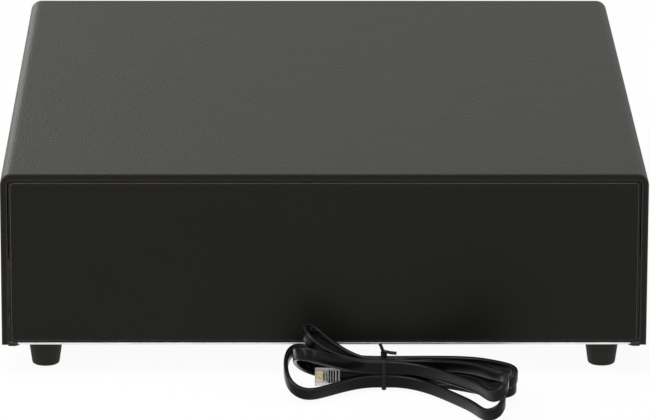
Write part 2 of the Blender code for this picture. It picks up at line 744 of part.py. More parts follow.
def make_rail(name, side):
    """Angle on the drawer's side whose flange runs on the front roller."""
    web = RAIL_X + RAIL_SHEET
    edge = CHANNEL_X - RAIL_EDGE_GAP
    top = RAIL_Z + CHANNEL_SHEET
    bottom = top - RAIL_DEPTH
    outline = [(RAIL_X, bottom), (web, bottom), (web, RAIL_Z), (edge, RAIL_Z), (edge, top), (RAIL_X, top)]
    rail = prism(f"drawer_rail_{name}", [flipped(outline, side)], "Y", TRAY_FRONT, TRAY_REAR)
    ends = sorted((side * (RAIL_X - GAP), side * (web + SHEET)))
    hole = rod(f"rail_hole_{name}", AXLE_RADIUS + GAP, "X", *ends, (0, REAR_ROLLER_Y, REAR_ROLLER_Z))
    cut(rail, hole)
    return rail


def make_runners(drawer):
    """Channels, rails, axles and rollers of both sides."""
    steel, nylon, axles = [], [], []
    for name, side in SIDES.items():
        steel.append(make_channel(name, side))
        rail = make_rail(name, side)
        front_head = (ROLLER_LOW_X - GAP - AXLE_HEAD, ROLLER_LOW_X - GAP)
        front_collar = (ROLLER_HIGH_X + GAP, CHANNEL_X - GAP)
        front_place = (FRONT_ROLLER_Y, FRONT_ROLLER_Z)
        tip = CHANNEL_X + CHANNEL_SHEET
        front_axle = make_axle(f"front_axle_{name}", side, front_place, front_head, front_collar, tip)
        rear_head = (ROLLER_HIGH_X + GAP, ROLLER_HIGH_X + GAP + AXLE_HEAD)
        rear_collar = (RAIL_X + RAIL_SHEET + GAP, ROLLER_LOW_X - GAP)
        rear_place = (REAR_ROLLER_Y, REAR_ROLLER_Z)
        rear_axle = make_axle(f"rear_axle_{name}", side, rear_place, rear_head, rear_collar, RAIL_X)
        front_roller = make_roller(f"front_roller_{name}", side, *front_place)
        rear_roller = make_roller(f"rear_roller_{name}", side, *rear_place)
        carry(drawer, rail, rear_axle, rear_roller)
        steel.append(rail)
        axles += [front_axle, rear_axle]
        nylon += [front_roller, rear_roller]
    finish("runner_steel", STEEL, 0.4, 1.0, *steel)
    finish("axle_steel", STEEL, 0.3, 1.0, *axles)
    finish("nylon", NYLON, 0.45, 0.0, *nylon)


# Drawer, till and lock


def make_tray():
    """Open steel box."""
    low = Vector((-TRAY_HALF_WIDTH, TRAY_FRONT, TRAY_BOTTOM))
    high = Vector((TRAY_HALF_WIDTH, TRAY_REAR, TRAY_TOP))
    tray = box("drawer_tray", low, high)
    wall = Vector((SHEET, SHEET, SHEET))
    top = Vector((-SHEET, -SHEET, SHEET))
    cut(tray, box("tray_inside", low + wall, high + top))
    return tray


def make_bins(name, count, front, rear):
    """Plastic insert with a row of equal bays, open at the top."""
    insert = box(name, (-TILL_X, front, TILL_BOTTOM), (TILL_X, rear, TILL_TOP))
    bay = (2 * TILL_X - (count + 1) * TILL_WALL) / count
    for i in range(count):
        left = -TILL_X + TILL_WALL + i * (bay + TILL_WALL)
        low = (left, front + TILL_WALL, TILL_DECK)
        high = (left + bay, rear - TILL_WALL, TILL_TOP + TILL_WALL)
        cut(insert, box(f"{name}_bay_{i + 1}", low, high))
    return insert


def bay_middle(index):
    bay = (2 * TILL_X - (BILL_BAYS + 1) * TILL_WALL) / BILL_BAYS
    return -TILL_X + TILL_WALL + bay / 2 + index * (bay + TILL_WALL)


def make_clip(index):
    """Bill clip: a sleeve on the rod and a bent arm that presses on the notes."""
    place = (bay_middle(index), CLIP_Y, CLIP_Z)
    name = f"bill_clip_{index + 1}"
    drop = CLIP_Z - TILL_DECK - CLIP_SHEET / 2 - GAP
    arm = [(0, 0), (-CLIP_KNEE, -CLIP_KNEE_DROP), (-CLIP_HEEL, -drop), (-CLIP_REACH, CLIP_TOE_LIFT - drop)]
    clip = strip(name, arm, "X", CLIP_WIDTH, CLIP_SHEET, place)
    half = CLIP_WIDTH / 2
    join(clip, rod(f"{name}_sleeve", CLIP_HUB_RADIUS, "X", -half, half, place))
    cut(clip, rod(f"{name}_bore", CLIP_ROD_RADIUS + GAP, "X", -CLIP_WIDTH, CLIP_WIDTH, place))
    return clip


def make_till(drawer):
    """Bill insert, coin tray, rod and clips."""
    till = make_bins("till_insert", BILL_BAYS, TILL_FRONT, TILL_REAR)
    coins = make_bins("coin_tray", COIN_CUPS, COIN_FRONT, COIN_REAR)
    seat = TILL_X - TILL_WALL / 2
    cut(till, rod("clip_rod_hole", CLIP_ROD_RADIUS + GAP, "X", -seat, seat, (0, CLIP_Y, CLIP_Z)))
    clip_rod = rod("clip_rod", CLIP_ROD_RADIUS, "X", GAP - seat, seat - GAP, (0, CLIP_Y, CLIP_Z))
    clips = [make_clip(i) for i in range(BILL_BAYS)]
    carry(drawer, till, coins, clip_rod, *clips)
    finish("till_plastic", BLACK_PLASTIC, 0.5, 0.0, till, coins)
    finish("clip_steel", STEEL, 0.3, 1.0, clip_rod, *clips)


def make_lock(drawer):
    """Key lock: housing and nut in the front, plug and cam that turn, and the keeper under the cover."""
    place = (0, 0, LOCK_Z)
    bezel_back = LOCK_FRONT + LOCK_BEZEL
    profile = [(LOCK_RADIUS, LOCK_REAR), (LOCK_RADIUS, bezel_back), (LOCK_BEZEL_RADIUS, bezel_back)]
    profile += [(LOCK_BEZEL_RADIUS, LOCK_FRONT), (LOCK_BORE_RADIUS, LOCK_FRONT)]
    profile.append((LOCK_BORE_RADIUS, LOCK_REAR))
    housing = turned("lock_housing", profile, "Y", place, hollow=True, steps=32)
    nut_front = FRONT_FACE + PANEL_BACK + GAP
    faces = circle((0, 0), LOCK_NUT_RADIUS, 6)
    hole = circle((0, 0), LOCK_RADIUS + GAP)
    nut = prism("lock_nut", [faces, hole], "Y", nut_front, nut_front + LOCK_NUT_HEIGHT, place)
    radius = LOCK_BORE_RADIUS - GAP
    tail = CAM_FRONT + CAM_SHEET + PLAY
    profile = [(0, tail), (LOCK_TAIL_RADIUS, tail), (LOCK_TAIL_RADIUS, LOCK_REAR), (radius, LOCK_REAR)]
    profile += [(radius, LOCK_FRONT + GAP), (0, LOCK_FRONT + GAP)]
    plug = turned("lock_plug", profile, "Y", place, steps=32)
    low = (-KEYWAY_WIDTH / 2, LOCK_FRONT - SHEET, LOCK_Z - KEYWAY_HEIGHT / 2)
    cut(plug, box("keyway", low, (KEYWAY_WIDTH / 2, LOCK_FRONT + KEYWAY_DEPTH, LOCK_Z + KEYWAY_HEIGHT / 2)))
    half = CAM_WIDTH / 2
    outline = arc((0, 0), half, 90, 270, 12) + arc((CAM_LENGTH - half, 0), half, -90, 90, 12)
    eye = circle((0, 0), LOCK_TAIL_RADIUS + GAP)
    cam = prism("lock_cam", [outline, eye], "Y", CAM_FRONT, CAM_FRONT + CAM_SHEET, place)
    keeper_front = KEEPER_BACK - KEEPER_SHEET
    top = CEILING - GAP
    keeper_rear = keeper_front + KEEPER_FOOT
    under = top - KEEPER_SHEET
    hook = [(keeper_front, top - KEEPER_DROP), (KEEPER_BACK, top - KEEPER_DROP), (KEEPER_BACK, under)]
    hook += [(keeper_rear, under), (keeper_rear, top), (keeper_front, top)]
    keeper = prism("lock_keeper", [hook], "X", -KEEPER_WIDTH / 2, KEEPER_WIDTH / 2)
    turning = carrier("lock_axis", (0, LOCK_FRONT, LOCK_Z), drawer)
    carry(drawer, housing, nut)
    carry(turning, plug, cam)
    finish("lock_chrome", STEEL, 0.15, 1.0, housing, nut, plug)
    finish("lock_steel", STEEL, 0.4, 1.0, cam, keeper)


def make_drawer(drawer):
    tray = make_tray()
    front = make_panel("drawer_front", FRONT_FACE, -1, PANEL_STEP)
    ends = (FRONT_FACE - SHEET, FRONT_FACE + PANEL_BACK + SHEET)
    cut(front, rod("lock_opening", LOCK_RADIUS + GAP, "Y", *ends, (0, 0, LOCK_Z)))
    carry(drawer, tray, front)
    finish("tray_paint", PANEL_PAINT, 0.5, 0.0, tray)
    finish("front_paint", PANEL_PAINT, 0.45, 0.0, front)
    make_till(drawer)
    make_lock(drawer)


# Latch, spring and switch


def make_lever():
    """Hooked latch lever, stored swung clear of the striker."""
    neck = math.degrees(math.asin(LEVER_HALF_WIDTH / LEVER_EYE_RADIUS))
    eye = arc((0, 0), LEVER_EYE_RADIUS, 270 - neck, -90 + neck, 16)
    hook_back = HOOK_LENGTH - LEVER_LENGTH
    ease = HOOK_LENGTH / 2
    outline = [(-LEVER_HALF_WIDTH, -LEVER_LENGTH), *eye, (LEVER_HALF_WIDTH, hook_back)]
    outline += [(HOOK_REACH, hook_back), (HOOK_REACH, ease - LEVER_LENGTH)]
    outline.append((HOOK_REACH - ease, -LEVER_LENGTH))
    pivot = circle((0, 0), LATCH_PIN_RADIUS + GAP)
    slack = LINK_PIN_RADIUS + PLAY
    reach = LINK_ARM / math.cos(LATCH_SWING)
    slot = arc((0, -LINK_ARM), slack, 0, 180, 8) + arc((0, -reach), slack, 180, 360, 8)
    place = (LATCH_X, LATCH_Y, 0)
    lever = prism("latch_lever", [outline, pivot, slot], "Z", LEVER_BOTTOM, LEVER_TOP, place, -LATCH_SWING)
    return lever


def make_striker():
    """Bent strip on the back of the tray that the hook holds."""
    wall = TRAY_REAR + GAP
    catch = LATCH_Y - LEVER_LENGTH + HOOK_LENGTH + GAP
    arm = LATCH_X + HOOK_REACH + LEVER_HALF_WIDTH
    sheet = STRIKER_SHEET
    foot = arm + STRIKER_FOOT
    tip = LATCH_X + LEVER_HALF_WIDTH + PLAY
    outline = [(arm, wall), (foot, wall), (foot, wall + sheet), (arm + sheet, wall + sheet)]
    outline += [(arm + sheet, catch + sheet), (tip, catch + sheet), (tip, catch), (arm, catch)]
    middle = (LEVER_BOTTOM + LEVER_TOP) / 2
    return prism("striker", [outline], "Z", middle - STRIKER_HEIGHT / 2, middle + STRIKER_HEIGHT / 2)


def make_plunger():
    """Solenoid core with a tongue under the lever and a pin up through its slot."""
    end = LATCH_X - LINK_TRAVEL - LEVER_HALF_WIDTH - LINK_PIN_RADIUS - 3 * PLAY
    place = (0, PLUNGER_Y, PLUNGER_Z)
    plunger = rod("solenoid_plunger", PLUNGER_RADIUS, "X", end - PLUNGER_LENGTH, end, place)
    pin_x = LATCH_X - LINK_TRAVEL
    top = LEVER_BOTTOM - PLAY
    low = (end - PLUNGER_RADIUS, PLUNGER_Y - TONGUE_WIDTH / 2, top - TONGUE_SHEET)
    high = (pin_x + LINK_PIN_RADIUS + PLAY, PLUNGER_Y + TONGUE_WIDTH / 2, top)
    tongue = box("plunger_tongue", low, high)
    ends = (top - TONGUE_SHEET / 2, LEVER_TOP)
    pin = rod("plunger_pin", LINK_PIN_RADIUS, "Z", *ends, (pin_x, PLUNGER_Y, 0), 12)
    join(plunger, tongue, pin)
    return plunger


def make_latch(drawer):
    """Bracket, pin, lever, striker and solenoid."""
    sheet = BRACKET_SHEET
    back = LATCH_Y + LEVER_EYE_RADIUS + sheet
    front = PLUNGER_Y - SOLENOID_WIDTH / 2 - sheet
    left = SOLENOID_BACK - LEVER_EYE_RADIUS
    plate = rounded((left, front), (LATCH_X + 2 * LEVER_EYE_RADIUS, back), BRACKET_CORNER)
    bracket = prism("latch_bracket", [plate], "Z", DECK, BRACKET_TOP)
    head = LEVER_TOP + GAP
    collar = LEVER_BOTTOM - GAP
    profile = [(0, head + sheet), (LATCH_COLLAR_RADIUS, head + sheet), (LATCH_COLLAR_RADIUS, head)]
    profile += [(LATCH_PIN_RADIUS, head), (LATCH_PIN_RADIUS, collar), (LATCH_COLLAR_RADIUS, collar)]
    profile += [(LATCH_COLLAR_RADIUS, BRACKET_TOP + GAP), (0, BRACKET_TOP + GAP)]
    pin = turned("latch_pin", profile, "Z", (LATCH_X, LATCH_Y, 0))
    lever = make_lever()
    striker = make_striker()
    low, high = BRACKET_TOP + GAP, BRACKET_TOP + GAP + SOLENOID_HEIGHT
    frame = [(SOLENOID_BACK, low), (SOLENOID_FRONT, low), (SOLENOID_FRONT, high)]
    frame += [(SOLENOID_FRONT - sheet, high), (SOLENOID_FRONT - sheet, low + sheet)]
    frame += [(SOLENOID_BACK + sheet, low + sheet), (SOLENOID_BACK + sheet, high), (SOLENOID_BACK, high)]
    sides = (PLUNGER_Y - SOLENOID_WIDTH / 2, PLUNGER_Y + SOLENOID_WIDTH / 2)
    yoke = prism("solenoid_frame", [frame], "Y", *sides)
    place = (0, PLUNGER_Y, PLUNGER_Z)
    hole = PLUNGER_RADIUS + PLAY
    ends = (SOLENOID_FRONT - 2 * sheet, SOLENOID_FRONT + sheet)
    cut(yoke, rod("plunger_hole", hole, "X", *ends, place))
    far, near = SOLENOID_BACK + sheet + GAP, SOLENOID_FRONT - sheet - GAP
    waist = COIL_RADIUS - COIL_WAIST
    profile = [(COIL_RADIUS, near), (COIL_RADIUS, near - COIL_FLANGE), (waist, near - COIL_FLANGE)]
    profile += [(waist, far + COIL_FLANGE), (COIL_RADIUS, far + COIL_FLANGE), (COIL_RADIUS, far)]
    profile += [(hole, far), (hole, near)]
    coil = turned("solenoid_coil", profile, "X", place, hollow=True)
    plunger = make_plunger()
    carry(drawer, striker)
    finish("bracket_zinc", ZINC, 0.4, 1.0, bracket, yoke, striker)
    finish("latch_steel", STEEL, 0.35, 1.0, pin, lever, plunger)
    finish("coil_wire", COPPER, 0.4, 0.6, coil)


def make_kick_spring():
    """Spring on a post that throws the drawer open, drawn at its shut length."""
    sheet = BRACKET_SHEET
    back = SPRING_WALL + sheet
    front = back - SPRING_BRACKET_FOOT
    top = DECK + SPRING_BRACKET_HEIGHT
    outline = [(front, DECK), (back, DECK), (back, top), (SPRING_WALL, top), (SPRING_WALL, DECK + sheet)]
    outline.append((front, DECK + sheet))
    half = SPRING_BRACKET_WIDTH / 2
    bracket = prism("spring_bracket", [outline], "X", SPRING_X - half, SPRING_X + half)
    place = (SPRING_X, 0, SPRING_Z)
    ends = (SPRING_WALL - POST_LENGTH, SPRING_WALL + sheet / 2)
    join(bracket, rod("spring_post", POST_RADIUS, "Y", *ends, place))
    start = TRAY_REAR + GAP + SPRING_WIRE_RADIUS
    end = SPRING_WALL - GAP - SPRING_WIRE_RADIUS
    count = SPRING_TURNS * SPRING_POINTS + 1
    points = []
    for y, angle in zip(np.linspace(start, end, count), np.linspace(0, 2 * math.pi * SPRING_TURNS, count)):
        x = SPRING_X + SPRING_RADIUS * math.cos(angle)
        points.append((x, y, SPRING_Z + SPRING_RADIUS * math.sin(angle)))
    spring = wire("kick_spring", points, SPRING_WIRE_RADIUS, 1)
    finish("spring_bracket_zinc", ZINC, 0.4, 1.0, bracket)
    finish("spring_steel", STEEL, 0.3, 1.0, spring)


def make_switch():
    """Microswitch whose button the shut drawer meets."""
    half = SWITCH_WIDTH / 2
    low = (SWITCH_X - half, SWITCH_FRONT, DECK)
    body = box("switch_body", low, (SWITCH_X + half, SWITCH_FRONT + SWITCH_DEPTH, DECK + SWITCH_HEIGHT))
    soften(body, SHEET)
    place = (SWITCH_X, 0, BUTTON_Z)
    tip = TRAY_REAR + GAP
    end = tip + BUTTON_LENGTH
    bore_end = end + BUTTON_TRAVEL + PLAY
    cut(body, rod("switch_bore", BUTTON_RADIUS + GAP, "Y", SWITCH_FRONT - SHEET, bore_end, place))
    button = rod("switch_button", BUTTON_RADIUS, "Y", tip, end, place)
    finish("switch_plastic", BLACK_PLASTIC, 0.45, 0.0, body)
    finish("button_plastic", NYLON, 0.45, 0.0, button)


# Cable


def smooth(points, count):
    """Points evenly spread along a Catmull-Rom curve through the route's own points."""
    route = np.array(points, float)
    ends = np.vstack([2 * route[0] - route[1], route, 2 * route[-1] - route[-2]])
    fine = []
    for a, b, c, d in zip(ends, ends[1:], ends[2:], ends[3:]):
        for t in np.linspace(0, 1, 16, endpoint=False):
            bend = (2 * a - 5 * b + 4 * c - d) * t * t + (3 * b - a - 3 * c + d) * t**3
            fine.append((2 * b + (c - a) * t + bend) / 2)
    fine = np.array([*fine, route[-1]])
    lengths = np.concatenate([[0], np.cumsum(np.linalg.norm(np.diff(fine, axis=0), axis=1))])
    stops = np.linspace(0, lengths[-1], count)
    return np.column_stack([np.interp(stops, lengths, fine[:, axis]) for axis in range(3)])


def ramp(t):
    """Rises from 0 to 1 with level ends."""
    t = np.clip(t, 0, 1)
    return t * t * (3 - 2 * t)


def slot_place(slot):
    """Where a waist slot's cable lies across the hank: Y and Z."""
    column, row = slot
    return np.array([WAIST_Y + SLOT_PITCH * column, (LOW_ROW, HIGH_ROW)[row]])


def lobe_path(lobe):
    """Centre points and width directions of one lobe, out from the waist and back."""
    t = np.linspace(0, 1, LOOP_POINTS)
    out = np.sin(math.pi * t)
    turn = np.cos(math.pi * t)
    tilt = math.radians(lobe.tilt)
    start, end = slot_place(lobe.start), slot_place(lobe.end)
    across = start + np.outer(ramp((1 - turn) / 2), end - start)
    across += np.outer(out**2, (lobe.lean, lobe.rise))
    across += np.outer(2 * lobe.swell * out**2 * turn, (math.cos(tilt), -math.sin(tilt)))
    x = WAIST_X + lobe.side * (WAIST_HALF_LENGTH + lobe.reach * out)
    twist = tilt * ramp(TWIST_RATE * out)
    widths = np.column_stack([np.zeros_like(t), np.sin(twist), np.cos(twist)])
    return np.column_stack([x, across]), widths


def hank_path():
    """The whole hank, lobe by lobe, and the stretch from its last slot to the plug."""
    paths = [lobe_path(lobe) for lobe in LOBES]
    along = np.linspace(0, 1, PLUG_POINTS)
    y, z = slot_place(PLUG_SLOT)
    x = WAIST_X + WAIST_HALF_LENGTH + PLUG_STRETCH * along
    rise = (PLUG_LIFT + PLUG_WIDTH / 2 - z) * ramp(along)
    stretch = np.column_stack([x, np.full_like(x, y), z + rise])
    paths.append((stretch, np.tile((0, 0, 1), (PLUG_POINTS, 1))))
    return np.vstack([p for p, _ in paths]), np.vstack([w for _, w in paths])


def section_frames(centres, widths):
    """Directions along, across the width and through the thickness at each point."""
    along = np.gradient(centres, axis=0)
    along /= np.linalg.norm(along, axis=1)[:, None]
    across = widths - (widths * along).sum(1)[:, None] * along
    across /= np.linalg.norm(across, axis=1)[:, None]
    return along, across, np.cross(along, across)


def section():
    """Half sizes of the cable's eight-cornered section, as steps across and through."""
    a, b, r = CABLE_WIDTH / 2, CABLE_THICKNESS / 2, CABLE_ROUND
    corner = [(a, b - r), (a - r, b)]
    half = corner + [(-x, y) for x, y in reversed(corner)]
    return np.array(half + [(-x, -y) for x, y in half])


def ring_points(centres, widths):
    _, across, through = section_frames(centres, widths)
    steps = section()
    return centres[:, None] + steps[None, :, :1] * across[:, None] + steps[None, :, 1:] * through[:, None]


def ribbon(name, centres, widths):
    """Flat cable lofted along its points, with square ends."""
    rings = ring_points(centres, widths)
    work = bmesh.new()
    verts = [[work.verts.new(point) for point in ring] for ring in rings]
    count = len(verts[0])
    for first, second in zip(verts, verts[1:]):
        for i in range(count):
            j = (i + 1) % count
            work.faces.new((first[i], first[j], second[j], second[i]))
    work.faces.new(verts[0])
    work.faces.new(verts[-1])
    bmesh.ops.recalc_face_normals(work, faces=work.faces)
    mesh = bpy.data.meshes.new(name)
    work.to_mesh(mesh)
    work.free()
    made = bpy.data.objects.new(name, mesh)
    PARTS.objects.link(made)
    return made


def least_gap(centres, widths):
    """Least gap between stretches of the hank that lie further apart along it than a few widths."""
    along, across, through = section_frames(centres, widths)
    steps = np.linalg.norm(np.diff(centres, axis=0), axis=1)
    lengths = np.concatenate([[0], np.cumsum(steps)])
    reach = np.concatenate([[steps[0]], (steps[1:] + steps[:-1]) / 2, [steps[-1]]]) / 2
    least = math.inf
    surface = ring_points(centres, widths)
    for i, centre in enumerate(centres):
        far = np.abs(lengths - lengths[i]) > 2 * CABLE_WIDTH
        offset = surface[far] - centre
        beside = np.abs(offset @ across[i]) - CABLE_WIDTH / 2
        over = np.abs(offset @ through[i]) - CABLE_THICKNESS / 2
        past = np.maximum(np.abs(offset @ along[i]) - reach[i], 0)
        outside = np.hypot(np.maximum(beside, 0), np.maximum(over, 0))
        gap = np.where((beside < 0) & (over < 0), np.maximum(beside, over), outside) + past
        least = min(least, gap.min())
    return least


def lead_path():
    """The free stretch: down from the grommet, out above the floor and on edge into the waist."""
    mouth = np.array((GROMMET_X, GROMMET_Y, GROMMET_BOTTOM))
    waist = np.array((WAIST_X + WAIST_HALF_LENGTH, *slot_place(LEAD_SLOT)))
    route = [mouth + step for step in LEAD_FROM_GROMMET] + [waist + step for step in LEAD_TO_WAIST]
    centres = smooth(route, LEAD_POINTS)
    angle = ramp(np.linspace(*LEAD_TWIST, LEAD_POINTS)) * math.pi / 2
    widths = np.column_stack([np.cos(angle), np.zeros(LEAD_POINTS), np.sin(angle)])
    return centres, widths


def make_plug():
    """Clear modular plug on its edge, nose away from the hank, with its catch behind."""
    y, _ = slot_place(PLUG_SLOT)
    back = WAIST_X + WAIST_HALF_LENGTH + PLUG_STRETCH + GAP
    low = (back, y - PLUG_THICKNESS / 2, PLUG_LIFT)
    plug = box("modular_plug", low, (back + PLUG_LENGTH, y + PLUG_THICKNESS / 2, PLUG_LIFT + PLUG_WIDTH))
    soften(plug, CABLE_ROUND / 2, 1)
    middle = PLUG_LIFT + PLUG_WIDTH / 2
    wall = y - PLUG_THICKNESS / 2
    nose = back + PLUG_LENGTH - CABLE_ROUND
    far = wall - CABLE_THICKNESS
    catch = [(nose, wall + CABLE_ROUND), (nose, wall - CABLE_ROUND), (back, far), (back, far + SHEET)]
    catch.append((nose - PLUG_THICKNESS, wall + CABLE_ROUND))
    half = PLUG_WIDTH / 3
    join(plug, prism("plug_catch", [catch], "Z", middle - half, middle + half))
    return plug


def make_tie():
    """Wire tie round the waist, with two twisted tails on top."""
    first, _ = slot_place((0, LOW))
    last, _ = slot_place((3, LOW))
    low = (first - CABLE_THICKNESS / 2 - TIE_CLEARANCE, LOW_ROW - CABLE_WIDTH / 2 - TIE_CLEARANCE)
    high = (last + CABLE_THICKNESS / 2 + TIE_CLEARANCE, HIGH_ROW + CABLE_WIDTH / 2 + TIE_CLEARANCE)
    outer_low = (low[0] - TIE_SHEET, low[1] - TIE_SHEET)
    outer_high = (high[0] + TIE_SHEET, high[1] + TIE_SHEET)
    outlines = [rounded(outer_low, outer_high, TIE_CORNER), rounded(low, high, TIE_CORNER - TIE_SHEET)]
    tie = prism("cable_tie", outlines, "X", WAIST_X - TIE_WIDTH / 2, WAIST_X + TIE_WIDTH / 2)
    knot = np.array((WAIST_X, (low[0] + high[0]) / 2, outer_high[1] + TIE_TAIL_RADIUS - TIE_TAIL_SINK))
    for name, steps in TIE_TAILS.items():
        points = [tuple(knot + step) for step in steps]
        join(tie, as_mesh(wire(f"tie_tail_{name}", points, TIE_TAIL_RADIUS, 1)))
    return tie


def make_cable():
    """Grommet, inner lead, free lead, hank, plug and tie."""
    neck_top, neck_bottom = BASE_TOP + GAP, BASE_BOTTOM - GAP
    profile = [(0, GROMMET_TOP), (GROMMET_FLANGE_RADIUS, GROMMET_TOP), (GROMMET_FLANGE_RADIUS, neck_top)]
    profile += [(GROMMET_NECK_RADIUS, neck_top), (GROMMET_NECK_RADIUS, neck_bottom)]
    profile += [(GROMMET_FLANGE_RADIUS, neck_bottom), (GROMMET_FLANGE_RADIUS, GROMMET_BOTTOM)]
    profile.append((0, GROMMET_BOTTOM))
    grommet = turned("cable_grommet", profile, "Z", (GROMMET_X, GROMMET_Y, 0))
    across, through = CABLE_WIDTH / 2 + GAP, CABLE_THICKNESS / 2 + GAP
    slot = [rounded((-across, -through), (across, through), CABLE_ROUND + GAP)]
    ends = (GROMMET_BOTTOM - SHEET, GROMMET_TOP + SHEET)
    cut(grommet, prism("grommet_slot", slot, "Z", *ends, (GROMMET_X, GROMMET_Y, 0)))
    rise = 4 * INNER_LEAD_RADIUS
    behind = LATCH_Y + LATCH_COLLAR_RADIUS + 1.3 * INNER_LEAD_RADIUS
    coil_x = (SOLENOID_FRONT + SOLENOID_BACK) / 2
    coil_side = PLUNGER_Y + COIL_RADIUS - COIL_WAIST + PLAY
    low = BRACKET_TOP + 2 * INNER_LEAD_RADIUS
    route = [
        (GROMMET_X, GROMMET_Y, GROMMET_TOP + GAP),
        (GROMMET_X, GROMMET_Y, GROMMET_TOP + rise),
        (GROMMET_X - 2 * rise, (GROMMET_Y + behind) / 2, GROMMET_TOP + 1.5 * rise),
        (LATCH_X + 3 * rise, behind, low + rise / 4),
        (LATCH_X, behind, low),
        (SOLENOID_FRONT, behind, low),
        (coil_x + rise, behind - rise / 4, (low + PLUNGER_Z) / 2),
        (coil_x, coil_side + rise / 2, PLUNGER_Z),
        (coil_x, coil_side, PLUNGER_Z),
    ]
    inner = wire("inner_lead", [tuple(p) for p in smooth(route, 40)], INNER_LEAD_RADIUS, 2)
    lead = ribbon("cord_lead", *lead_path())
    centres, widths = hank_path()
    hank = ribbon("cord_hank", centres, widths)
    print(f"Hank: least gap to itself {1000 * least_gap(centres, widths):.2f} mm")
    plug = make_plug()
    tie = make_tie()
    finish("grommet_rubber", RUBBER, 0.8, 0.0, grommet)
    finish("cable_jacket", CABLE_BLACK, 0.3, 0.0, inner, lead, hank)
    finish("clear_plastic", CLEAR_PLASTIC, 0.1, 0.0, plug)
    finish("tie_plastic", CABLE_BLACK, 0.5, 0.0, tie)


def make_all():
    drawer = carrier("drawer_body", (0, 0, 0))
    make_case()
    make_runners(drawer)
    make_drawer(drawer)
    make_latch(drawer)
    make_kick_spring()
    make_switch()
    make_cable()


make_all()
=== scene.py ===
"""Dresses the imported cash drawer: camera, flat cable, plug, tie, materials, light and floor."""

import json
import math
from collections import namedtuple

import bmesh
import bpy
import numpy as np
from mathutils import Matrix, Vector


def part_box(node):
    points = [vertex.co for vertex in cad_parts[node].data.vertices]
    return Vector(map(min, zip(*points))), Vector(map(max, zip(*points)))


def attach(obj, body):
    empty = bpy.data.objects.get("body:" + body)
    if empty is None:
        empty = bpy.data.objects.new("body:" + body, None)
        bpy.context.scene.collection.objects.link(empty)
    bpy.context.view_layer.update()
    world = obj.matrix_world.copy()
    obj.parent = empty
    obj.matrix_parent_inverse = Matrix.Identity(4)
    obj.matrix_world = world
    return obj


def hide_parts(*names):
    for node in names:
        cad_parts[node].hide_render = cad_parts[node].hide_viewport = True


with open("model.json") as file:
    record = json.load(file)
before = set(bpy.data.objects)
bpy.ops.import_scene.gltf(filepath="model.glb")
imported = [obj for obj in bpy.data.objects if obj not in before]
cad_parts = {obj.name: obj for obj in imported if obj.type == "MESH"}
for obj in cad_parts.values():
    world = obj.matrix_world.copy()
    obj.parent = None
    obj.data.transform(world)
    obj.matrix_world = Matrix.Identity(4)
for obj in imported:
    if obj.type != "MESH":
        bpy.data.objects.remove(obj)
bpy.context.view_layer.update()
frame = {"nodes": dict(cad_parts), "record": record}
NODES = frame["nodes"]
SCENE = bpy.context.scene
SCENE.view_settings.view_transform = "Standard"

# Camera, fitted to the edges of the case in the photo
CAMERA_PLACE = (0.026627, 3.093785, 0.893230)
CAMERA_YAW = -0.0093
CAMERA_PITCH = 0.2699
CAMERA_ROLL = 0.0024
CAMERA_LENS = 307.93
SENSOR_WIDTH = 36.0


def make_camera():
    data = bpy.data.cameras.new("photo_camera")
    data.lens = CAMERA_LENS
    data.sensor_fit = "HORIZONTAL"
    data.sensor_width = SENSOR_WIDTH
    camera = bpy.data.objects.new("photo_camera", data)
    aim = Matrix.Rotation(math.pi + CAMERA_YAW, 4, "Z")
    dip = Matrix.Rotation(math.pi / 2 - CAMERA_PITCH, 4, "X")
    lean = Matrix.Rotation(CAMERA_ROLL, 4, "Z")
    camera.matrix_world = Matrix.Translation(CAMERA_PLACE) @ aim @ dip @ lean
    SCENE.collection.objects.link(camera)
    SCENE.camera = camera


make_camera()

# Cable: the CAD model's own route in metres, with more points along it and its tight folds opened
GAP = 0.0003
CABLE_WIDTH = 0.007
CABLE_THICKNESS = 0.0024
CABLE_ROUND = 0.0009
GROMMET_MOUTH = np.array((0.008, 0.180, 0.0157))
WAIST_X = -0.032
WAIST_Y = 0.2199
WAIST_HALF_LENGTH = 0.004
SLOT_PITCH = 0.0032
ROWS = (0.005, 0.0128)
LOOP_POINTS = 72
CURVE_STEPS = 16
CORNER_STEPS = 3
TWIST_RATE = 1.6
BEND_EASE = 0.05
FIRM_ENDS = 3
LENGTH_PASSES = 4
LEFT, RIGHT = 1, -1
EASING_ROUNDS = {RIGHT: 600, LEFT: 80}
SOFT_ANGLE = 40
HARD_ANGLE = 30
PLUG_LENGTH = 0.0135
PLUG_WIDTH = 0.00965
PLUG_THICKNESS = 0.0066
PLUG_LIFT = 0.0011
PLUG_ROLL = math.radians(14)
PLUG_STRETCH = 0.0194
PLUG_POINTS = 16
PLUG_REACH_Z = PLUG_WIDTH * math.cos(PLUG_ROLL) + PLUG_THICKNESS * math.sin(PLUG_ROLL)
PLUG_MIDDLE = PLUG_LIFT + PLUG_REACH_Z / 2
LOW, HIGH = 0, 1
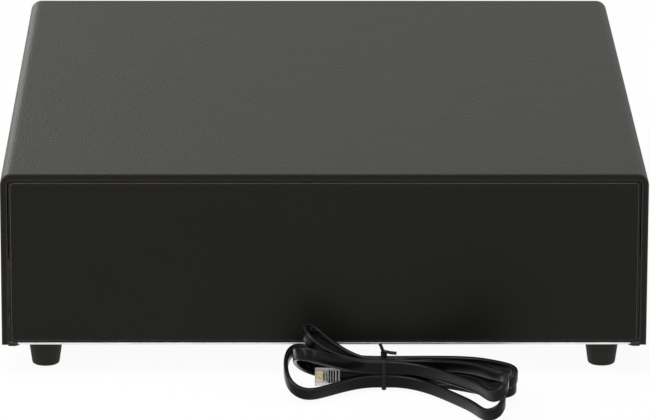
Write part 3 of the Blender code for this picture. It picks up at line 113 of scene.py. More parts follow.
# A lobe's side is the photo's, its slots are a column and a row at the waist, its tilt is in degrees;
# its five sizes were fitted to the photo
Lobe = namedtuple("Lobe", "side start end reach swell tilt lean rise")
LOBES = (
    Lobe(RIGHT, (0, HIGH), (1, HIGH), 0.06572, -0.00888, 19.12, 0.03611, 0.00232),
    Lobe(LEFT, (1, HIGH), (2, HIGH), 0.03846, -0.01080, 5.99, -0.00250, 0.01792),
    Lobe(RIGHT, (2, HIGH), (3, HIGH), 0.05923, -0.00914, 25.12, 0.06600, 0.00870),
    Lobe(LEFT, (3, HIGH), (0, LOW), 0.04404, 0.02573, -21.46, 0.01138, 0.01218),
    Lobe(RIGHT, (0, LOW), (1, LOW), 0.06604, -0.00790, 12.44, 0.02315, 0.00084),
    Lobe(LEFT, (1, LOW), (3, LOW), 0.04894, -0.02396, 19.05, 0.00979, 0.00988),
    Lobe(RIGHT, (3, LOW), (2, LOW), 0.05725, 0.01454, 19.17, 0.06122, 0.00507),
)
PLUG_SLOT = (2, LOW)
LEAD_SLOT = (0, HIGH)
LEAD_DROP = ((0, 0, -GAP), (0, 0, -0.0035), (-0.0005, 0.0035, -0.0082))
LEAD_RUN = ((-0.002, 0.011, -0.0095), (-0.007, 0.021, -0.0067))
LEAD_TO_WAIST = ((0.020, -0.0085, -0.0004), (0.012, -0.0030, 0), (0.007, -0.0009, 0), (GAP, 0, 0))
LEAD_TWIST = (-0.25, 1.5)
LEAD_POINTS = 60


def even(rows, count):
    """Rows spread evenly by the length along their first three columns."""
    steps = np.linalg.norm(np.diff(rows[:, :3], axis=0), axis=1)
    lengths = np.concatenate([[0], np.cumsum(steps)])
    stops = np.linspace(0, lengths[-1], count)
    return np.column_stack([np.interp(stops, lengths, column) for column in rows.T])


def smooth(points, count):
    """Points evenly spread along a Catmull-Rom curve through the route's own points."""
    route = np.array(points, float)
    ends = np.vstack([2 * route[0] - route[1], route, 2 * route[-1] - route[-2]])
    fine = []
    for a, b, c, d in zip(ends, ends[1:], ends[2:], ends[3:]):
        for t in np.linspace(0, 1, CURVE_STEPS, endpoint=False):
            bend = (2 * a - 5 * b + 4 * c - d) * t * t + (3 * b - a - 3 * c + d) * t**3
            fine.append((2 * b + (c - a) * t + bend) / 2)
    return even(np.array([*fine, route[-1]]), count)


def ramp(t):
    """Rises from 0 to 1 with level ends."""
    t = np.clip(t, 0, 1)
    return t * t * (3 - 2 * t)


def slot_place(slot):
    """Where a waist slot's cable lies across the hank: Y and Z."""
    column, row = slot
    return np.array([WAIST_Y + SLOT_PITCH * column, ROWS[row]])


def lobe_path(lobe):
    """Centre points and width directions of one lobe, out from the waist and back."""
    t = np.linspace(0, 1, LOOP_POINTS)
    out = np.sin(math.pi * t)
    turn = np.cos(math.pi * t)
    tilt = math.radians(lobe.tilt)
    start, end = slot_place(lobe.start), slot_place(lobe.end)
    across = start + np.outer(ramp((1 - turn) / 2), end - start)
    across += np.outer(out**2, (lobe.lean, lobe.rise))
    across += np.outer(2 * lobe.swell * out**2 * turn, (math.cos(tilt), -math.sin(tilt)))
    x = WAIST_X + lobe.side * (WAIST_HALF_LENGTH + lobe.reach * out)
    twist = tilt * ramp(TWIST_RATE * out)
    widths = np.column_stack([np.zeros_like(t), np.sin(twist), np.cos(twist)])
    line = even(np.column_stack([x, across, widths]), LOOP_POINTS)
    return eased(line[:, :3], EASING_ROUNDS[lobe.side]), line[:, 3:]


def eased(line, rounds):
    """The line with its tight folds opened, as a springy cable does; its length and its ends stay."""
    route = line.copy()
    steps = np.linalg.norm(np.diff(line, axis=0), axis=1)[:, None]
    floor = line[:, 2].min()
    for _ in range(rounds):
        bends = route[:-2] - 2 * route[1:-1] + route[2:]
        push = np.zeros_like(route)
        push[:-2] -= bends
        push[1:-1] += 2 * bends
        push[2:] -= bends
        route += BEND_EASE * push
        for _ in range(LENGTH_PASSES):
            gaps = np.diff(route, axis=0)
            mend = gaps * (1 - steps / np.linalg.norm(gaps, axis=1)[:, None]) / 2
            route[:-1] += mend
            route[1:] -= mend
            route[:, 2] = np.maximum(route[:, 2], floor)
            route[:FIRM_ENDS] = line[:FIRM_ENDS]
            route[-FIRM_ENDS:] = line[-FIRM_ENDS:]
    return route


def cable_path():
    """Lead, lobes and the stretch to the plug, as one line."""
    waist = np.array((WAIST_X + WAIST_HALF_LENGTH, *slot_place(LEAD_SLOT)))
    route = [GROMMET_MOUTH + step for step in LEAD_DROP + LEAD_RUN]
    route += [waist + step for step in LEAD_TO_WAIST]
    angle = ramp(np.linspace(*LEAD_TWIST, LEAD_POINTS)) * math.pi / 2
    upright = np.column_stack([np.cos(angle), np.zeros(LEAD_POINTS), np.sin(angle)])
    paths = [(smooth(route, LEAD_POINTS), upright)]
    paths += [lobe_path(lobe) for lobe in LOBES]
    along = np.linspace(0, 1, PLUG_POINTS)
    y, z = slot_place(PLUG_SLOT)
    x = WAIST_X + WAIST_HALF_LENGTH + PLUG_STRETCH * along
    rise = (PLUG_MIDDLE - z) * ramp(along)
    stretch = np.column_stack([x, np.full_like(x, y), z + rise])
    roll = PLUG_ROLL * ramp(along)
    paths.append((stretch, np.column_stack([np.zeros_like(x), -np.sin(roll), np.cos(roll)])))
    return np.vstack([p for p, _ in paths]), np.vstack([w for _, w in paths])


def loft(work, centres, widths, section, closed=False):
    """Sweeps a section, given as steps across and through, along centre points."""
    if closed:
        along = np.roll(centres, -1, axis=0) - np.roll(centres, 1, axis=0)
    else:
        along = np.gradient(centres, axis=0)
    along /= np.linalg.norm(along, axis=1)[:, None]
    across = widths - (widths * along).sum(1)[:, None] * along
    across /= np.linalg.norm(across, axis=1)[:, None]
    through = np.cross(along, across)
    rings = centres[:, None] + section[None, :, :1] * across[:, None]
    rings = rings + section[None, :, 1:] * through[:, None]
    verts = [[work.verts.new(point) for point in ring] for ring in rings]
    pairs = list(zip(verts, verts[1:]))
    if closed:
        pairs.append((verts[-1], verts[0]))
    count = len(section)
    for first, second in pairs:
        for i in range(count):
            j = (i + 1) % count
            work.faces.new((first[i], first[j], second[j], second[i]))
    if not closed:
        work.faces.new(verts[0])
        work.faces.new(verts[-1])


def pill(width, thickness, radius, steps=CORNER_STEPS):
    """A rectangle with round corners, as steps across and through."""
    points = []
    for side_x, side_y, start in ((1, 1, 0), (-1, 1, 90), (-1, -1, 180), (1, -1, 270)):
        for k in range(steps + 1):
            angle = math.radians(start + 90 * k / steps)
            x = side_x * (width / 2 - radius) + radius * math.cos(angle)
            points.append((x, side_y * (thickness / 2 - radius) + radius * math.sin(angle)))
    return np.array(points)


def piece(name, work, smooth_angle=SOFT_ANGLE):
    """A mesh piece on the case, smooth but for its sharp edges."""
    bmesh.ops.recalc_face_normals(work, faces=work.faces)
    mesh = bpy.data.meshes.new(name)
    work.to_mesh(mesh)
    work.free()
    mesh.shade_smooth()
    mesh.set_sharp_from_angle(angle=math.radians(smooth_angle))
    made = bpy.data.objects.new(name, mesh)
    SCENE.collection.objects.link(made)
    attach(made, "case")
    return made


def make_cable():
    centres, widths = cable_path()
    work = bmesh.new()
    loft(work, centres, widths, pill(CABLE_WIDTH, CABLE_THICKNESS, CABLE_ROUND))
    cable = piece("flat_cable", work)
    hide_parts("cord_lead", "cord_hank")
    return cable, centres


cable, cable_centres = make_cable()

# Plug: on its edge and rolled a little, nose towards +X, contacts towards +Y and up, catch behind
PLUG_BACK = WAIST_X + WAIST_HALF_LENGTH + PLUG_STRETCH + GAP
PLUG_NOSE = PLUG_BACK + PLUG_LENGTH
PLUG_Y = float(slot_place(PLUG_SLOT)[0])
PLUG_LOW = PLUG_MIDDLE - PLUG_WIDTH / 2
PLUG_HIGH = PLUG_LOW + PLUG_WIDTH
PLUG_FACE = PLUG_Y + PLUG_THICKNESS / 2
PLUG_REAR = PLUG_Y - PLUG_THICKNESS / 2
PLUG_WALL = 0.0009
PLUG_EDGE = 0.00025
WINDOW_STARTS = (0.0010, 0.0027, 0.0040, 0.0053, 0.0067, 0.0082)
WINDOW_WIDTH = 0.0008
WINDOW_WALL = 0.0010
JACKET_LENGTH = 0.0062
JACKET_WIDTH = 0.0068
JACKET_ROUND = 0.0008
CONTACT_COUNT = 6
CONTACT_PITCH = 0.00102
CONTACT_WIDTH = 0.00065
CONTACT_LENGTH = 0.0034
CONTACT_DEPTH = 0.0026
CONTACT_PROUD = 0.0001
WIRE_RADIUS = 0.00042
WIRE_SPREAD = 1.3
WIRE_RATE = 2
WIRE_POINTS = 12
CATCH_REACH = 0.0024
CATCH_ROOT = 0.0022
CATCH_SHEET = 0.001
CATCH_HALF = PLUG_WIDTH / 3
UPRIGHT = (0, 0, 1.0)


def prism(work, outline, low, high):
    """A block with this outline in X and Y, from low to high."""
    ends = [[work.verts.new((x, y, z)) for x, y in outline] for z in (low, high)]
    work.faces.new(ends[0][::-1])
    work.faces.new(ends[1])
    for i in range(len(outline)):
        j = (i + 1) % len(outline)
        work.faces.new((ends[0][i], ends[0][j], ends[1][j], ends[1][i]))


def round_edges(work, width):
    bmesh.ops.bevel(work, geom=list(work.edges), offset=width, segments=2, profile=0.5, affect="EDGES")


def merged(first, second, operation):
    """One mesh with another cut from it or joined to it."""
    things = []
    for work in (first, second):
        bmesh.ops.recalc_face_normals(work, faces=work.faces)
        mesh = bpy.data.meshes.new("rough")
        work.to_mesh(mesh)
        work.free()
        thing = bpy.data.objects.new("rough", mesh)
        SCENE.collection.objects.link(thing)
        things.append(thing)
    step = things[0].modifiers.new("step", "BOOLEAN")
    step.operation = operation
    step.object = things[1]
    result = bmesh.new()
    result.from_object(things[0], bpy.context.evaluated_depsgraph_get())
    for thing in things:
        bpy.data.meshes.remove(thing.data)
    return result


def rolled(work):
    """Turns a piece of the plug about the plug's length, so that the contacts look up a little."""
    turn = Matrix.Rotation(PLUG_ROLL, 3, "X")
    bmesh.ops.rotate(work, cent=(0, PLUG_Y, PLUG_MIDDLE), matrix=turn, verts=work.verts)
    return work


def make_shell():
    """Clear block with a stepped nose, a catch behind, and windows down to the jacket and the wires."""
    work = bmesh.new()
    step = PLUG_NOSE - PLUG_WALL
    outline = [(PLUG_BACK, PLUG_REAR), (step, PLUG_REAR), (step, PLUG_REAR + PLUG_WALL)]
    outline += [(PLUG_NOSE, PLUG_REAR + PLUG_WALL), (PLUG_NOSE, PLUG_FACE - PLUG_WALL)]
    outline += [(PLUG_NOSE - PLUG_WALL / 2, PLUG_FACE), (PLUG_BACK, PLUG_FACE)]
    prism(work, outline, PLUG_LOW, PLUG_HIGH)
    round_edges(work, PLUG_EDGE)
    windows = bmesh.new()
    past = PLUG_FACE + PLUG_WALL
    for start in WINDOW_STARTS:
        x0, x1 = PLUG_BACK + start, PLUG_BACK + start + WINDOW_WIDTH
        slot = [(x0, PLUG_Y), (x1, PLUG_Y), (x1, past), (x0, past)]
        prism(windows, slot, PLUG_LOW + WINDOW_WALL, PLUG_HIGH - WINDOW_WALL)
    work = merged(work, windows, "DIFFERENCE")
    catch = bmesh.new()
    root = PLUG_NOSE - CATCH_ROOT
    tip = PLUG_REAR - CATCH_REACH
    outline = [(root, PLUG_REAR + CATCH_SHEET / 2), (root, PLUG_REAR - CATCH_SHEET)]
    outline += [(PLUG_BACK, tip), (PLUG_BACK, tip + CATCH_SHEET)]
    outline += [(root - CATCH_ROOT, PLUG_REAR), (root - CATCH_ROOT, PLUG_REAR + CATCH_SHEET / 2)]
    prism(catch, outline, PLUG_MIDDLE - CATCH_HALF, PLUG_MIDDLE + CATCH_HALF)
    shell = piece("plug_shell", rolled(merged(work, catch, "UNION")), HARD_ANGLE)
    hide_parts("modular_plug")
    return shell


def make_plug():
    """The shell, its gold blades, the cable's jacket inside it, and the wires on to the blades."""
    shell = make_shell()
    blades = bmesh.new()
    x0 = PLUG_NOSE - PLUG_WALL - CONTACT_LENGTH
    x1 = x0 + CONTACT_LENGTH
    top = PLUG_FACE + CONTACT_PROUD
    foot = top - CONTACT_DEPTH
    blade = [(x0, foot), (x1, foot), (x1, PLUG_FACE), (x1 - PLUG_WALL, top), (x0, top)]
    middle = (CONTACT_COUNT - 1) / 2
    heights = [PLUG_MIDDLE + (k - middle) * CONTACT_PITCH for k in range(CONTACT_COUNT)]
    for z in heights:
        prism(blades, blade, z - CONTACT_WIDTH / 2, z + CONTACT_WIDTH / 2)
    contacts = piece("plug_contacts", rolled(blades), HARD_ANGLE)
    stub = bmesh.new()
    section = pill(JACKET_WIDTH, CABLE_THICKNESS, JACKET_ROUND)
    ends = np.array([(PLUG_BACK + GAP + step, PLUG_Y, PLUG_MIDDLE) for step in (0, JACKET_LENGTH)])
    loft(stub, ends, np.tile(UPRIGHT, (2, 1)), section)
    jacket = piece("plug_jacket", rolled(stub))
    strands = []
    along = np.linspace(0, 1, WIRE_POINTS)
    start = PLUG_BACK + GAP + JACKET_LENGTH
    round_section = pill(2 * WIRE_RADIUS, 2 * WIRE_RADIUS, WIRE_RADIUS)
    for k, z in enumerate(heights[1:-1]):
        work = bmesh.new()
        spread = PLUG_MIDDLE + (z - PLUG_MIDDLE) * WIRE_SPREAD
        x = start + (x0 + CONTACT_LENGTH / 2 - start) * along
        rise = spread + (z - spread) * ramp(along * WIRE_RATE)
        centres = np.column_stack([x, np.full_like(x, PLUG_Y), rise])
        loft(work, centres, np.tile(UPRIGHT, (WIRE_POINTS, 1)), round_section)
        strands.append(piece(f"plug_wire_{k + 1}", rolled(work)))
    return [shell, contacts, jacket, *strands]


# Tie: a wire core in a thin black sleeve, round the waist, twisted above it
TIE_WIDTH = 0.0025
TIE_SHEET = 0.001
TIE_CLEARANCE = 0.0004
TIE_CORNER = 0.0018
TIE_CORNER_STEPS = 6
TIE_CORE = 0.0008
TIE_THIN = TIE_SHEET / 4
TAIL_RADIUS = 0.0009
TWIST_TURNS = 2.5
TWIST_RISE = 0.0022
TWIST_POINTS = 20
TAIL_POINTS = 14
TAIL_SIDE = (0.3, 1.0, 0.2)
TAILS = (
    ((0.0006, 0.0010, 0.0014), (0.0014, 0.0013, 0.0034), (0.0022, 0.0015, 0.0052)),
    ((-0.0010, 0.0024, 0.0010), (-0.0034, 0.0028, 0.0006), (-0.0068, 0.0030, 0.0003)),
)


def make_tie():
    """Band round the waist, its two ends twisted on top and left as short tails."""
    first, last = slot_place((0, LOW))[0], slot_place((3, LOW))[0]
    room = TIE_CLEARANCE + TIE_SHEET / 2
    low = (first - CABLE_THICKNESS / 2 - room, ROWS[LOW] - CABLE_WIDTH / 2 - room)
    high = (last + CABLE_THICKNESS / 2 + room, ROWS[HIGH] + CABLE_WIDTH / 2 + room)
    middle = ((low[0] + high[0]) / 2, (low[1] + high[1]) / 2)
    loop = pill(high[0] - low[0], high[1] - low[1], TIE_CORNER, TIE_CORNER_STEPS)
    centres = np.column_stack([np.full(len(loop), WAIST_X), loop + middle])
    edge = TIE_WIDTH / 2
    upper = [(edge, 0), (edge - TIE_THIN, TIE_THIN), (TIE_CORE, TIE_THIN), (TIE_CORE / 2, 2 * TIE_THIN)]
    upper += [(-x, y) for x, y in reversed(upper)]
    section = np.array(upper + [(-x, -y) for x, y in upper[1:-1]])
    work = bmesh.new()
    loft(work, centres, np.tile((1.0, 0, 0), (len(loop), 1)), section, closed=True)
    knot = np.array((WAIST_X, middle[0], high[1] + TIE_SHEET / 2))
    turn = np.linspace(0, 2 * math.pi * TWIST_TURNS, TWIST_POINTS)
    round_section = pill(2 * TAIL_RADIUS, 2 * TAIL_RADIUS, TAIL_RADIUS)
    for side, steps in zip((1, -1), TAILS):
        swing = side * TAIL_RADIUS * np.column_stack([np.cos(turn), np.sin(turn)])
        twist = np.column_stack([swing, np.linspace(0, TWIST_RISE, len(turn))])
        tail = smooth(np.vstack([twist[-1:], np.array(steps) + (0, 0, TWIST_RISE)]), TAIL_POINTS)
        strand = knot + np.vstack([twist, tail[1:]])
        loft(work, strand, np.tile(TAIL_SIDE, (len(strand), 1)), round_section)
    tie = piece("twist_tie", work)
    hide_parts("cable_tie")
    return tie


plug_shell, plug_contacts, plug_jacket, *plug_wires = make_plug()
twist_tie = make_tie()

# Finishes. Colours are linear and go between two shades, over patches of the broad size or from cell to
# cell; fine is the size of the grain in the relief, stretch draws that grain out along X, Y or Z, and
# the edge colour is a painted highlight along the edges
EVEN = (1, 1, 1)
Finish = namedtuple(
    "Finish",
    "dark light rough metallic broad fine pattern relief stretch specular tint worn edge",
    defaults=("noise", 0.00002, EVEN, 0.5, EVEN, None, 0.0003),
)
WARM = (1, 0.97, 0.82)
SOFT_WARM = (1, 0.99, 0.93)
# Painted highlight: lighter edges on the tray's paint, standing in for light caught on them
TRAY_EDGE_HIGHLIGHT = (0.085, 0.083, 0.079)
# Painted highlight: a light edge colour standing in for light on the panel's edges and the field's top
# ledge
PANEL_EDGE_HIGHLIGHT = (0.16, 0.157, 0.15)
# Painted highlight: thin light lines along the flat cable's rounded edges, standing in for their glints
CABLE_EDGE_HIGHLIGHT = (0.16, 0.155, 0.148)
# Painted highlight on the cover's edges and rear fold, standing in for light caught there
COVER_EDGE_HIGHLIGHT = (0.048, 0.046, 0.043)
PANEL_PAINT = Finish(
    dark=(0.0050, 0.0048, 0.0043), light=(0.0064, 0.0062, 0.0057), rough=(0.34, 0.42), metallic=0,
    broad=0.06, fine=0.0006, relief=0.000012, specular=0.145, tint=SOFT_WARM, worn=PANEL_EDGE_HIGHLIGHT,
    edge=0.0004,
)
BRACKET_ZINC = Finish(
    dark=(0.48, 0.49, 0.51), light=(0.64, 0.65, 0.66), rough=(0.26, 0.42), metallic=1, broad=0.006,
    fine=0.0025, pattern="cells", relief=0.000008,
)
FINISHES = {
    "grained_paint": Finish(
        dark=(0.0042, 0.0040, 0.0034), light=(0.0060, 0.0058, 0.0051), rough=(0.50, 0.54),
        metallic=0, broad=0.012, fine=0.0008, pattern="grain", relief=0.00027, stretch=(1, 2.5, 1),
        specular=0.16, tint=WARM, worn=COVER_EDGE_HIGHLIGHT, edge=0.0014,
    ),
    "panel_paint": PANEL_PAINT,
    "front_paint": PANEL_PAINT,
    "tray_paint": Finish(
        dark=(0.010, 0.010, 0.0095), light=(0.016, 0.0155, 0.015), rough=(0.45, 0.6), metallic=0,
        broad=0.03, fine=0.0009, relief=0.00003, specular=0.3, tint=WARM, worn=TRAY_EDGE_HIGHLIGHT,
        edge=0.0004,
    ),
    "zinc_plate": Finish(
        dark=(0.70, 0.71, 0.73), light=(0.86, 0.87, 0.88), rough=(0.28, 0.45), metallic=1,
        broad=0.012, fine=0.004, pattern="cells", relief=0.000008,
    ),
    "bracket_zinc": BRACKET_ZINC,
    "spring_bracket_zinc": BRACKET_ZINC,
    "rubber": Finish(
        dark=(0.008, 0.0079, 0.007), light=(0.016, 0.0157, 0.014), rough=(0.55, 0.75), metallic=0,
        broad=0.006, fine=0.0005, relief=0.00004, specular=0.25, tint=WARM,
    ),
    "grommet_rubber": Finish(
        dark=(0.012, 0.012, 0.011), light=(0.020, 0.020, 0.019), rough=(0.6, 0.8), metallic=0,
        broad=0.004, fine=0.0004, relief=0.00003, specular=0.3,
    ),
    "screw_steel": Finish(
        dark=(0.46, 0.45, 0.42), light=(0.62, 0.61, 0.58), rough=(0.25, 0.45), metallic=1,
        broad=0.002, fine=0.0003, relief=0.00001,
    ),
    "runner_steel": Finish(
        dark=(0.44, 0.45, 0.46), light=(0.58, 0.59, 0.60), rough=(0.25, 0.45), metallic=1,
        broad=0.02, fine=0.0006, relief=0.000008, stretch=(1, 20, 1),
    ),
    "axle_steel": Finish(
        dark=(0.45, 0.45, 0.46), light=(0.58, 0.58, 0.58), rough=(0.2, 0.38), metallic=1,
        broad=0.002, fine=0.0003, relief=0.000006, stretch=(0.1, 1, 1),
    ),
    "clip_steel": Finish(
        dark=(0.46, 0.46, 0.47), light=(0.58, 0.58, 0.58), rough=(0.34, 0.5), metallic=1,
        broad=0.01, fine=0.0005, relief=0.00001, stretch=(1, 16, 1),
    ),
    "lock_chrome": Finish(
        dark=(0.50, 0.50, 0.51), light=(0.64, 0.64, 0.64), rough=(0.14, 0.28), metallic=1,
        broad=0.004, fine=0.0005, pattern="turned", relief=0.000012,
    ),
    "lock_steel": Finish(
        dark=(0.42, 0.42, 0.43), light=(0.55, 0.55, 0.55), rough=(0.28, 0.45), metallic=1,
        broad=0.004, fine=0.0004, relief=0.000008, stretch=(12, 1, 1),
    ),
    "latch_steel": Finish(
        dark=(0.40, 0.40, 0.41), light=(0.55, 0.55, 0.55), rough=(0.28, 0.45), metallic=1,
        broad=0.005, fine=0.0004, relief=0.000008, stretch=(1, 10, 1),
    ),
    "spring_steel": Finish(
        dark=(0.32, 0.32, 0.33), light=(0.46, 0.46, 0.46), rough=(0.22, 0.4), metallic=1,
        broad=0.002, fine=0.0002, relief=0.000005,
    ),
    "coil_wire": Finish(
        dark=(0.38, 0.13, 0.05), light=(0.62, 0.26, 0.11), rough=(0.25, 0.45), metallic=1,
        broad=0.003, fine=0.0006, pattern="winding", relief=0.00012,
    ),
    "nylon": Finish(
        dark=(0.68, 0.67, 0.61), light=(0.78, 0.77, 0.72), rough=(0.35, 0.5), metallic=0,
        broad=0.003, fine=0.0004, relief=0.00001,
    ),
    "button_plastic": Finish(
        dark=(0.66, 0.65, 0.60), light=(0.76, 0.75, 0.71), rough=(0.35, 0.5), metallic=0,
        broad=0.002, fine=0.0003, relief=0.00001,
    ),
    "till_plastic": Finish(
        dark=(0.011, 0.011, 0.012), light=(0.017, 0.017, 0.018), rough=(0.4, 0.58), metallic=0,
        broad=0.02, fine=0.0005, relief=0.00003, specular=0.4,
    ),
    "switch_plastic": Finish(
        dark=(0.012, 0.012, 0.013), light=(0.020, 0.020, 0.021), rough=(0.35, 0.5), metallic=0,
        broad=0.004, fine=0.0004,
    ),
    "tie_plastic": Finish(
        dark=(0.003, 0.003, 0.003), light=(0.006, 0.006, 0.006), rough=(0.35, 0.5), metallic=0,
        broad=0.002, fine=0.0003, specular=0.2,
    ),
    "cable_jacket": Finish(
        dark=(0.0016, 0.0016, 0.0016), light=(0.0034, 0.0034, 0.0034), rough=(0.18, 0.28),
        metallic=0, broad=0.008, fine=0.0006, relief=0.00003, specular=0.12, worn=CABLE_EDGE_HIGHLIGHT,
        edge=0.0005,
    ),
    "contact_gold": Finish(
        dark=(0.58, 0.43, 0.22), light=(0.76, 0.60, 0.34), rough=(0.2, 0.35), metallic=1,
        broad=0.001, fine=0.0002, relief=0.000004,
    ),
}
WIRE_COLOURS = ((0.10, 0.07, 0.04), (0.26, 0.19, 0.12), (0.15, 0.11, 0.07), (0.32, 0.25, 0.17))
WIRE_PALER = 1.3
WIRE_FINISH = {"rough": (0.35, 0.5), "metallic": 0, "broad": 0.002, "fine": 0.0003}
HIGHLIGHT_TURN = 0.94
WAVES_PER_UNIT = 3
GRAIN_CELLS = 0.7
GRAIN_NOISE = 0.6
CLEAR_COLOUR = (0.93, 0.94, 0.94, 1)
CLEAR_IOR = 1.5
CLEAR_SHARE = 0.6
CLEAR_ROUGH = (0.04, 0.14)
CLEAR_WAVE = 0.002
CLEAR_RELIEF = 0.00004


def joined(tree, source, target):
    tree.links.new(source, target)


def added(tree, kind, **values):
    """A node with these sockets set."""
    node = tree.nodes.new(kind)
    for name, value in values.items():
        node.inputs[name.replace("_", " ")].default_value = value
    return node


def between(tree, share, low, high):
    """A number between two others, by a share from 0 to 1."""
    spread = tree.nodes.new("ShaderNodeMapRange")
    spread.inputs["To Min"].default_value = low
    spread.inputs["To Max"].default_value = high
    joined(tree, share, spread.inputs["Value"])
    return spread.outputs["Result"]


def blended(tree, share):
    """A mix of two colours by a share: its output and its two colour sockets."""
    shade = tree.nodes.new("ShaderNodeMix")
    shade.data_type = "RGBA"
    amount, low, high = [socket for socket in shade.inputs if socket.enabled]
    joined(tree, share, amount)
    return next(socket for socket in shade.outputs if socket.enabled), low, high


def painted_highlight_share(tree, rounded):
    """Painted highlight share, 1 on an edge and 0 away, by how far the rounded normal turns from the
    face's own.
    """
    turn = tree.nodes.new("ShaderNodeVectorMath")
    turn.operation = "DOT_PRODUCT"
    joined(tree, rounded, turn.inputs[0])
    joined(tree, tree.nodes.new("ShaderNodeNewGeometry").outputs["Normal"], turn.inputs[1])
    share = added(tree, "ShaderNodeMapRange", From_Min=1, From_Max=HIGHLIGHT_TURN)
    joined(tree, turn.outputs["Value"], share.inputs["Value"])
    return share.outputs["Result"]


def pattern_height(tree, places, finish):
    """The fine relief of a finish, from 0 to 1."""
    scale = 1 / finish.fine
    if finish.pattern == "cells":
        cells = added(tree, "ShaderNodeTexVoronoi", Scale=scale)
        joined(tree, places, cells.inputs["Vector"])
        return cells.outputs["Color"]
    if finish.pattern == "winding":
        wave = added(tree, "ShaderNodeTexWave", Scale=scale / WAVES_PER_UNIT, Distortion=0.6, Detail=1)
        joined(tree, places, wave.inputs["Vector"])
        return wave.outputs["Fac"]
    if finish.pattern == "turned":
        low, high = (Vector(corner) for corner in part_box("lock_housing"))
        centred = added(tree, "ShaderNodeMapping", Location=-(low + high) / 2)
        rings = added(tree, "ShaderNodeTexWave", Scale=scale / WAVES_PER_UNIT, Distortion=1.5, Detail=2)
        rings.wave_type = "RINGS"
        rings.rings_direction = "Y"
        joined(tree, places, centred.inputs["Vector"])
        joined(tree, centred.outputs["Vector"], rings.inputs["Vector"])
        return rings.outputs["Fac"]
    noise = added(tree, "ShaderNodeTexNoise", Scale=scale, Detail=2, Roughness=0.55)
    joined(tree, places, noise.inputs["Vector"])
    if finish.pattern != "grain":
        return noise.outputs["Fac"]
    cells = added(tree, "ShaderNodeTexVoronoi", Scale=scale * GRAIN_CELLS, Randomness=1)
    cells.feature = "SMOOTH_F1"
    joined(tree, places, cells.inputs["Vector"])
    both = tree.nodes.new("ShaderNodeMath")
    both.operation = "MULTIPLY_ADD"
    both.inputs[1].default_value = GRAIN_NOISE
    joined(tree, noise.outputs["Fac"], both.inputs[0])
    joined(tree, cells.outputs["Distance"], both.inputs[2])
    return both.outputs["Value"]


def make_material(name, finish):
    made = bpy.data.materials.new(name)
    made.use_nodes = True
    tree = made.node_tree
    shader = tree.nodes["Principled BSDF"]
    shader.inputs["Metallic"].default_value = finish.metallic
    shader.inputs["Specular IOR Level"].default_value = finish.specular
    shader.inputs["Specular Tint"].default_value = (*finish.tint, 1)
    places = tree.nodes.new("ShaderNodeTexCoord").outputs["Object"]
    drawn = tree.nodes.new("ShaderNodeMapping")
    drawn.vector_type = "TEXTURE"
    drawn.inputs["Scale"].default_value = finish.stretch
    joined(tree, places, drawn.inputs["Vector"])
    height = pattern_height(tree, drawn.outputs["Vector"], finish)
    patches = added(tree, "ShaderNodeTexNoise", Scale=1 / finish.broad, Detail=3, Roughness=0.6)
    joined(tree, places, patches.inputs["Vector"])
    edge = added(tree, "ShaderNodeBevel", Radius=finish.edge)
    share = height if finish.pattern == "cells" else patches.outputs["Fac"]
    colour, dark, light = blended(tree, share)
    dark.default_value = (*finish.dark, 1)
    light.default_value = (*finish.light, 1)
    # Painted highlight: the base colour is made lighter along the edges, standing in for light caught
    # on them
    if finish.worn:
        highlighted, whole, highlight_colour = blended(tree, painted_highlight_share(tree, edge.outputs["Normal"]))
        joined(tree, colour, whole)
        highlight_colour.default_value = (*finish.worn, 1)
        colour = highlighted
    joined(tree, colour, shader.inputs["Base Color"])
    joined(tree, between(tree, patches.outputs["Fac"], *finish.rough), shader.inputs["Roughness"])
    bump = added(tree, "ShaderNodeBump", Distance=finish.relief)
    joined(tree, height, bump.inputs["Height"])
    joined(tree, edge.outputs["Normal"], bump.inputs["Normal"])
    joined(tree, bump.outputs["Normal"], shader.inputs["Normal"])
    return made


def make_clear(name):
    """Clear moulded plastic, a little wavy, that lets the light through."""
    made = bpy.data.materials.new(name)
    made.use_nodes = True
    tree = made.node_tree
    shader = tree.nodes["Principled BSDF"]
    shader.inputs["Base Color"].default_value = CLEAR_COLOUR
    shader.inputs["Transmission Weight"].default_value = CLEAR_SHARE
    shader.inputs["IOR"].default_value = CLEAR_IOR
    places = tree.nodes.new("ShaderNodeTexCoord").outputs["Object"]
    waves = added(tree, "ShaderNodeTexNoise", Scale=1 / CLEAR_WAVE, Detail=1)
    joined(tree, places, waves.inputs["Vector"])
    joined(tree, between(tree, waves.outputs["Fac"], *CLEAR_ROUGH), shader.inputs["Roughness"])
    bump = added(tree, "ShaderNodeBump", Distance=CLEAR_RELIEF)
    joined(tree, waves.outputs["Fac"], bump.inputs["Height"])
    joined(tree, bump.outputs["Normal"], shader.inputs["Normal"])
    return made


def dress(thing, material):
    thing.data.materials.clear()
    thing.data.materials.append(material)


def dress_all():
    made = {name: make_material(name, finish) for name, finish in FINISHES.items()}
    made["clear_plastic"] = make_clear("clear_plastic")
    for row in frame["record"]["subparts"]:
        dress(NODES[row["node"]], made[row["material_slot"]])
    dress(cable, made["cable_jacket"])
    dress(plug_jacket, made["cable_jacket"])
    dress(twist_tie, made["tie_plastic"])
    dress(plug_shell, made["clear_plastic"])
    dress(plug_contacts, made["contact_gold"])
    for wire, colour in zip(plug_wires, WIRE_COLOURS):
        pale = tuple(WIRE_PALER * c for c in colour)
        finish = Finish(colour, pale, **WIRE_FINISH)
        dress(wire, make_material(f"wire_{wire.name[-1]}", finish))


dress_all()

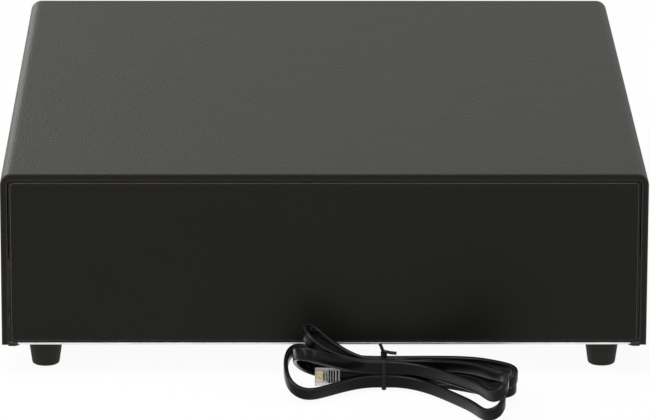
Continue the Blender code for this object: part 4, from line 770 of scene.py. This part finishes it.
# Light, floor and background: the background is white to the camera, in mirrors and through glass
FLOOR_HALF = 5.0
FLOOR_DROP = 0.0002
FLOOR_WHITE = 0.85
FLOOR_GLOW = 0.93
AMBIENT = 0.45
LAMP_COLOUR = (1, 0.98, 0.925)
Lamp = namedtuple("Lamp", "place aim size watts")
LAMPS = {
    "left_softbox": Lamp((1.5, 0.9, 1.5), (0, 0, 0.05), 1.2, 26),
    "back_softbox": Lamp((1.1, -2.2, 0.7), (0, 0, 0.1), 0.8, 10),
    "front_softbox": Lamp((1.3, 2.2, 1.2), (0, 0.2, 0.02), 0.5, 6),
    "right_softbox": Lamp((-1.6, 1.2, 1.2), (0, 0, 0.05), 1.2, 9),
    "top_softbox": Lamp((0.1, 0.3, 2.0), (0, 0, 0.1), 1.0, 16),
}


def seen(tree):
    """1 for rays from the camera, in a mirror or through glass, else 0."""
    paths = tree.nodes.new("ShaderNodeLightPath")
    share = paths.outputs["Is Camera Ray"]
    for kind in ("Is Glossy Ray", "Is Transmission Ray"):
        either = tree.nodes.new("ShaderNodeMath")
        either.operation = "MAXIMUM"
        joined(tree, share, either.inputs[0])
        joined(tree, paths.outputs[kind], either.inputs[1])
        share = either.outputs["Value"]
    return share


def make_world():
    world = bpy.data.worlds.new("studio")
    world.use_nodes = True
    SCENE.world = world
    tree = world.node_tree
    tree.nodes.clear()
    soft = added(tree, "ShaderNodeBackground", Strength=AMBIENT)
    white = added(tree, "ShaderNodeBackground", Strength=1)
    for ground in (soft, white):
        ground.inputs["Color"].default_value = (1, 1, 1, 1)
    mixed = tree.nodes.new("ShaderNodeMixShader")
    joined(tree, seen(tree), mixed.inputs[0])
    joined(tree, soft.outputs[0], mixed.inputs[1])
    joined(tree, white.outputs[0], mixed.inputs[2])
    joined(tree, mixed.outputs[0], tree.nodes.new("ShaderNodeOutputWorld").inputs[0])


def make_floor():
    mesh = bpy.data.meshes.new("floor")
    square = ((-1, -1), (1, -1), (1, 1), (-1, 1))
    corners = [(x * FLOOR_HALF, y * FLOOR_HALF, -FLOOR_DROP) for x, y in square]
    mesh.from_pydata(corners, [], [(0, 1, 2, 3)])
    floor = bpy.data.objects.new("floor", mesh)
    SCENE.collection.objects.link(floor)
    made = bpy.data.materials.new("floor_white")
    made.use_nodes = True
    tree = made.node_tree
    tree.nodes.clear()
    matt = tree.nodes.new("ShaderNodeBsdfDiffuse")
    matt.inputs["Color"].default_value = (FLOOR_WHITE, FLOOR_WHITE, FLOOR_WHITE, 1)
    glow = added(tree, "ShaderNodeEmission", Strength=1)
    share = tree.nodes.new("ShaderNodeMath")
    share.operation = "MULTIPLY"
    share.inputs[1].default_value = FLOOR_GLOW
    joined(tree, seen(tree), share.inputs[0])
    mixed = tree.nodes.new("ShaderNodeMixShader")
    joined(tree, share.outputs["Value"], mixed.inputs[0])
    joined(tree, matt.outputs[0], mixed.inputs[1])
    joined(tree, glow.outputs[0], mixed.inputs[2])
    joined(tree, mixed.outputs[0], tree.nodes.new("ShaderNodeOutputMaterial").inputs[0])
    dress(floor, made)


def make_lamps():
    for name, lamp in LAMPS.items():
        data = bpy.data.lights.new(name, "AREA")
        data.shape = "SQUARE"
        data.size = lamp.size
        data.energy = lamp.watts
        data.color = LAMP_COLOUR
        light = bpy.data.objects.new(name, data)
        light.location = lamp.place
        aim = Vector(lamp.aim) - Vector(lamp.place)
        light.rotation_euler = aim.to_track_quat("-Z", "Y").to_euler()
        SCENE.collection.objects.link(light)


make_world()
make_floor()
make_lamps()
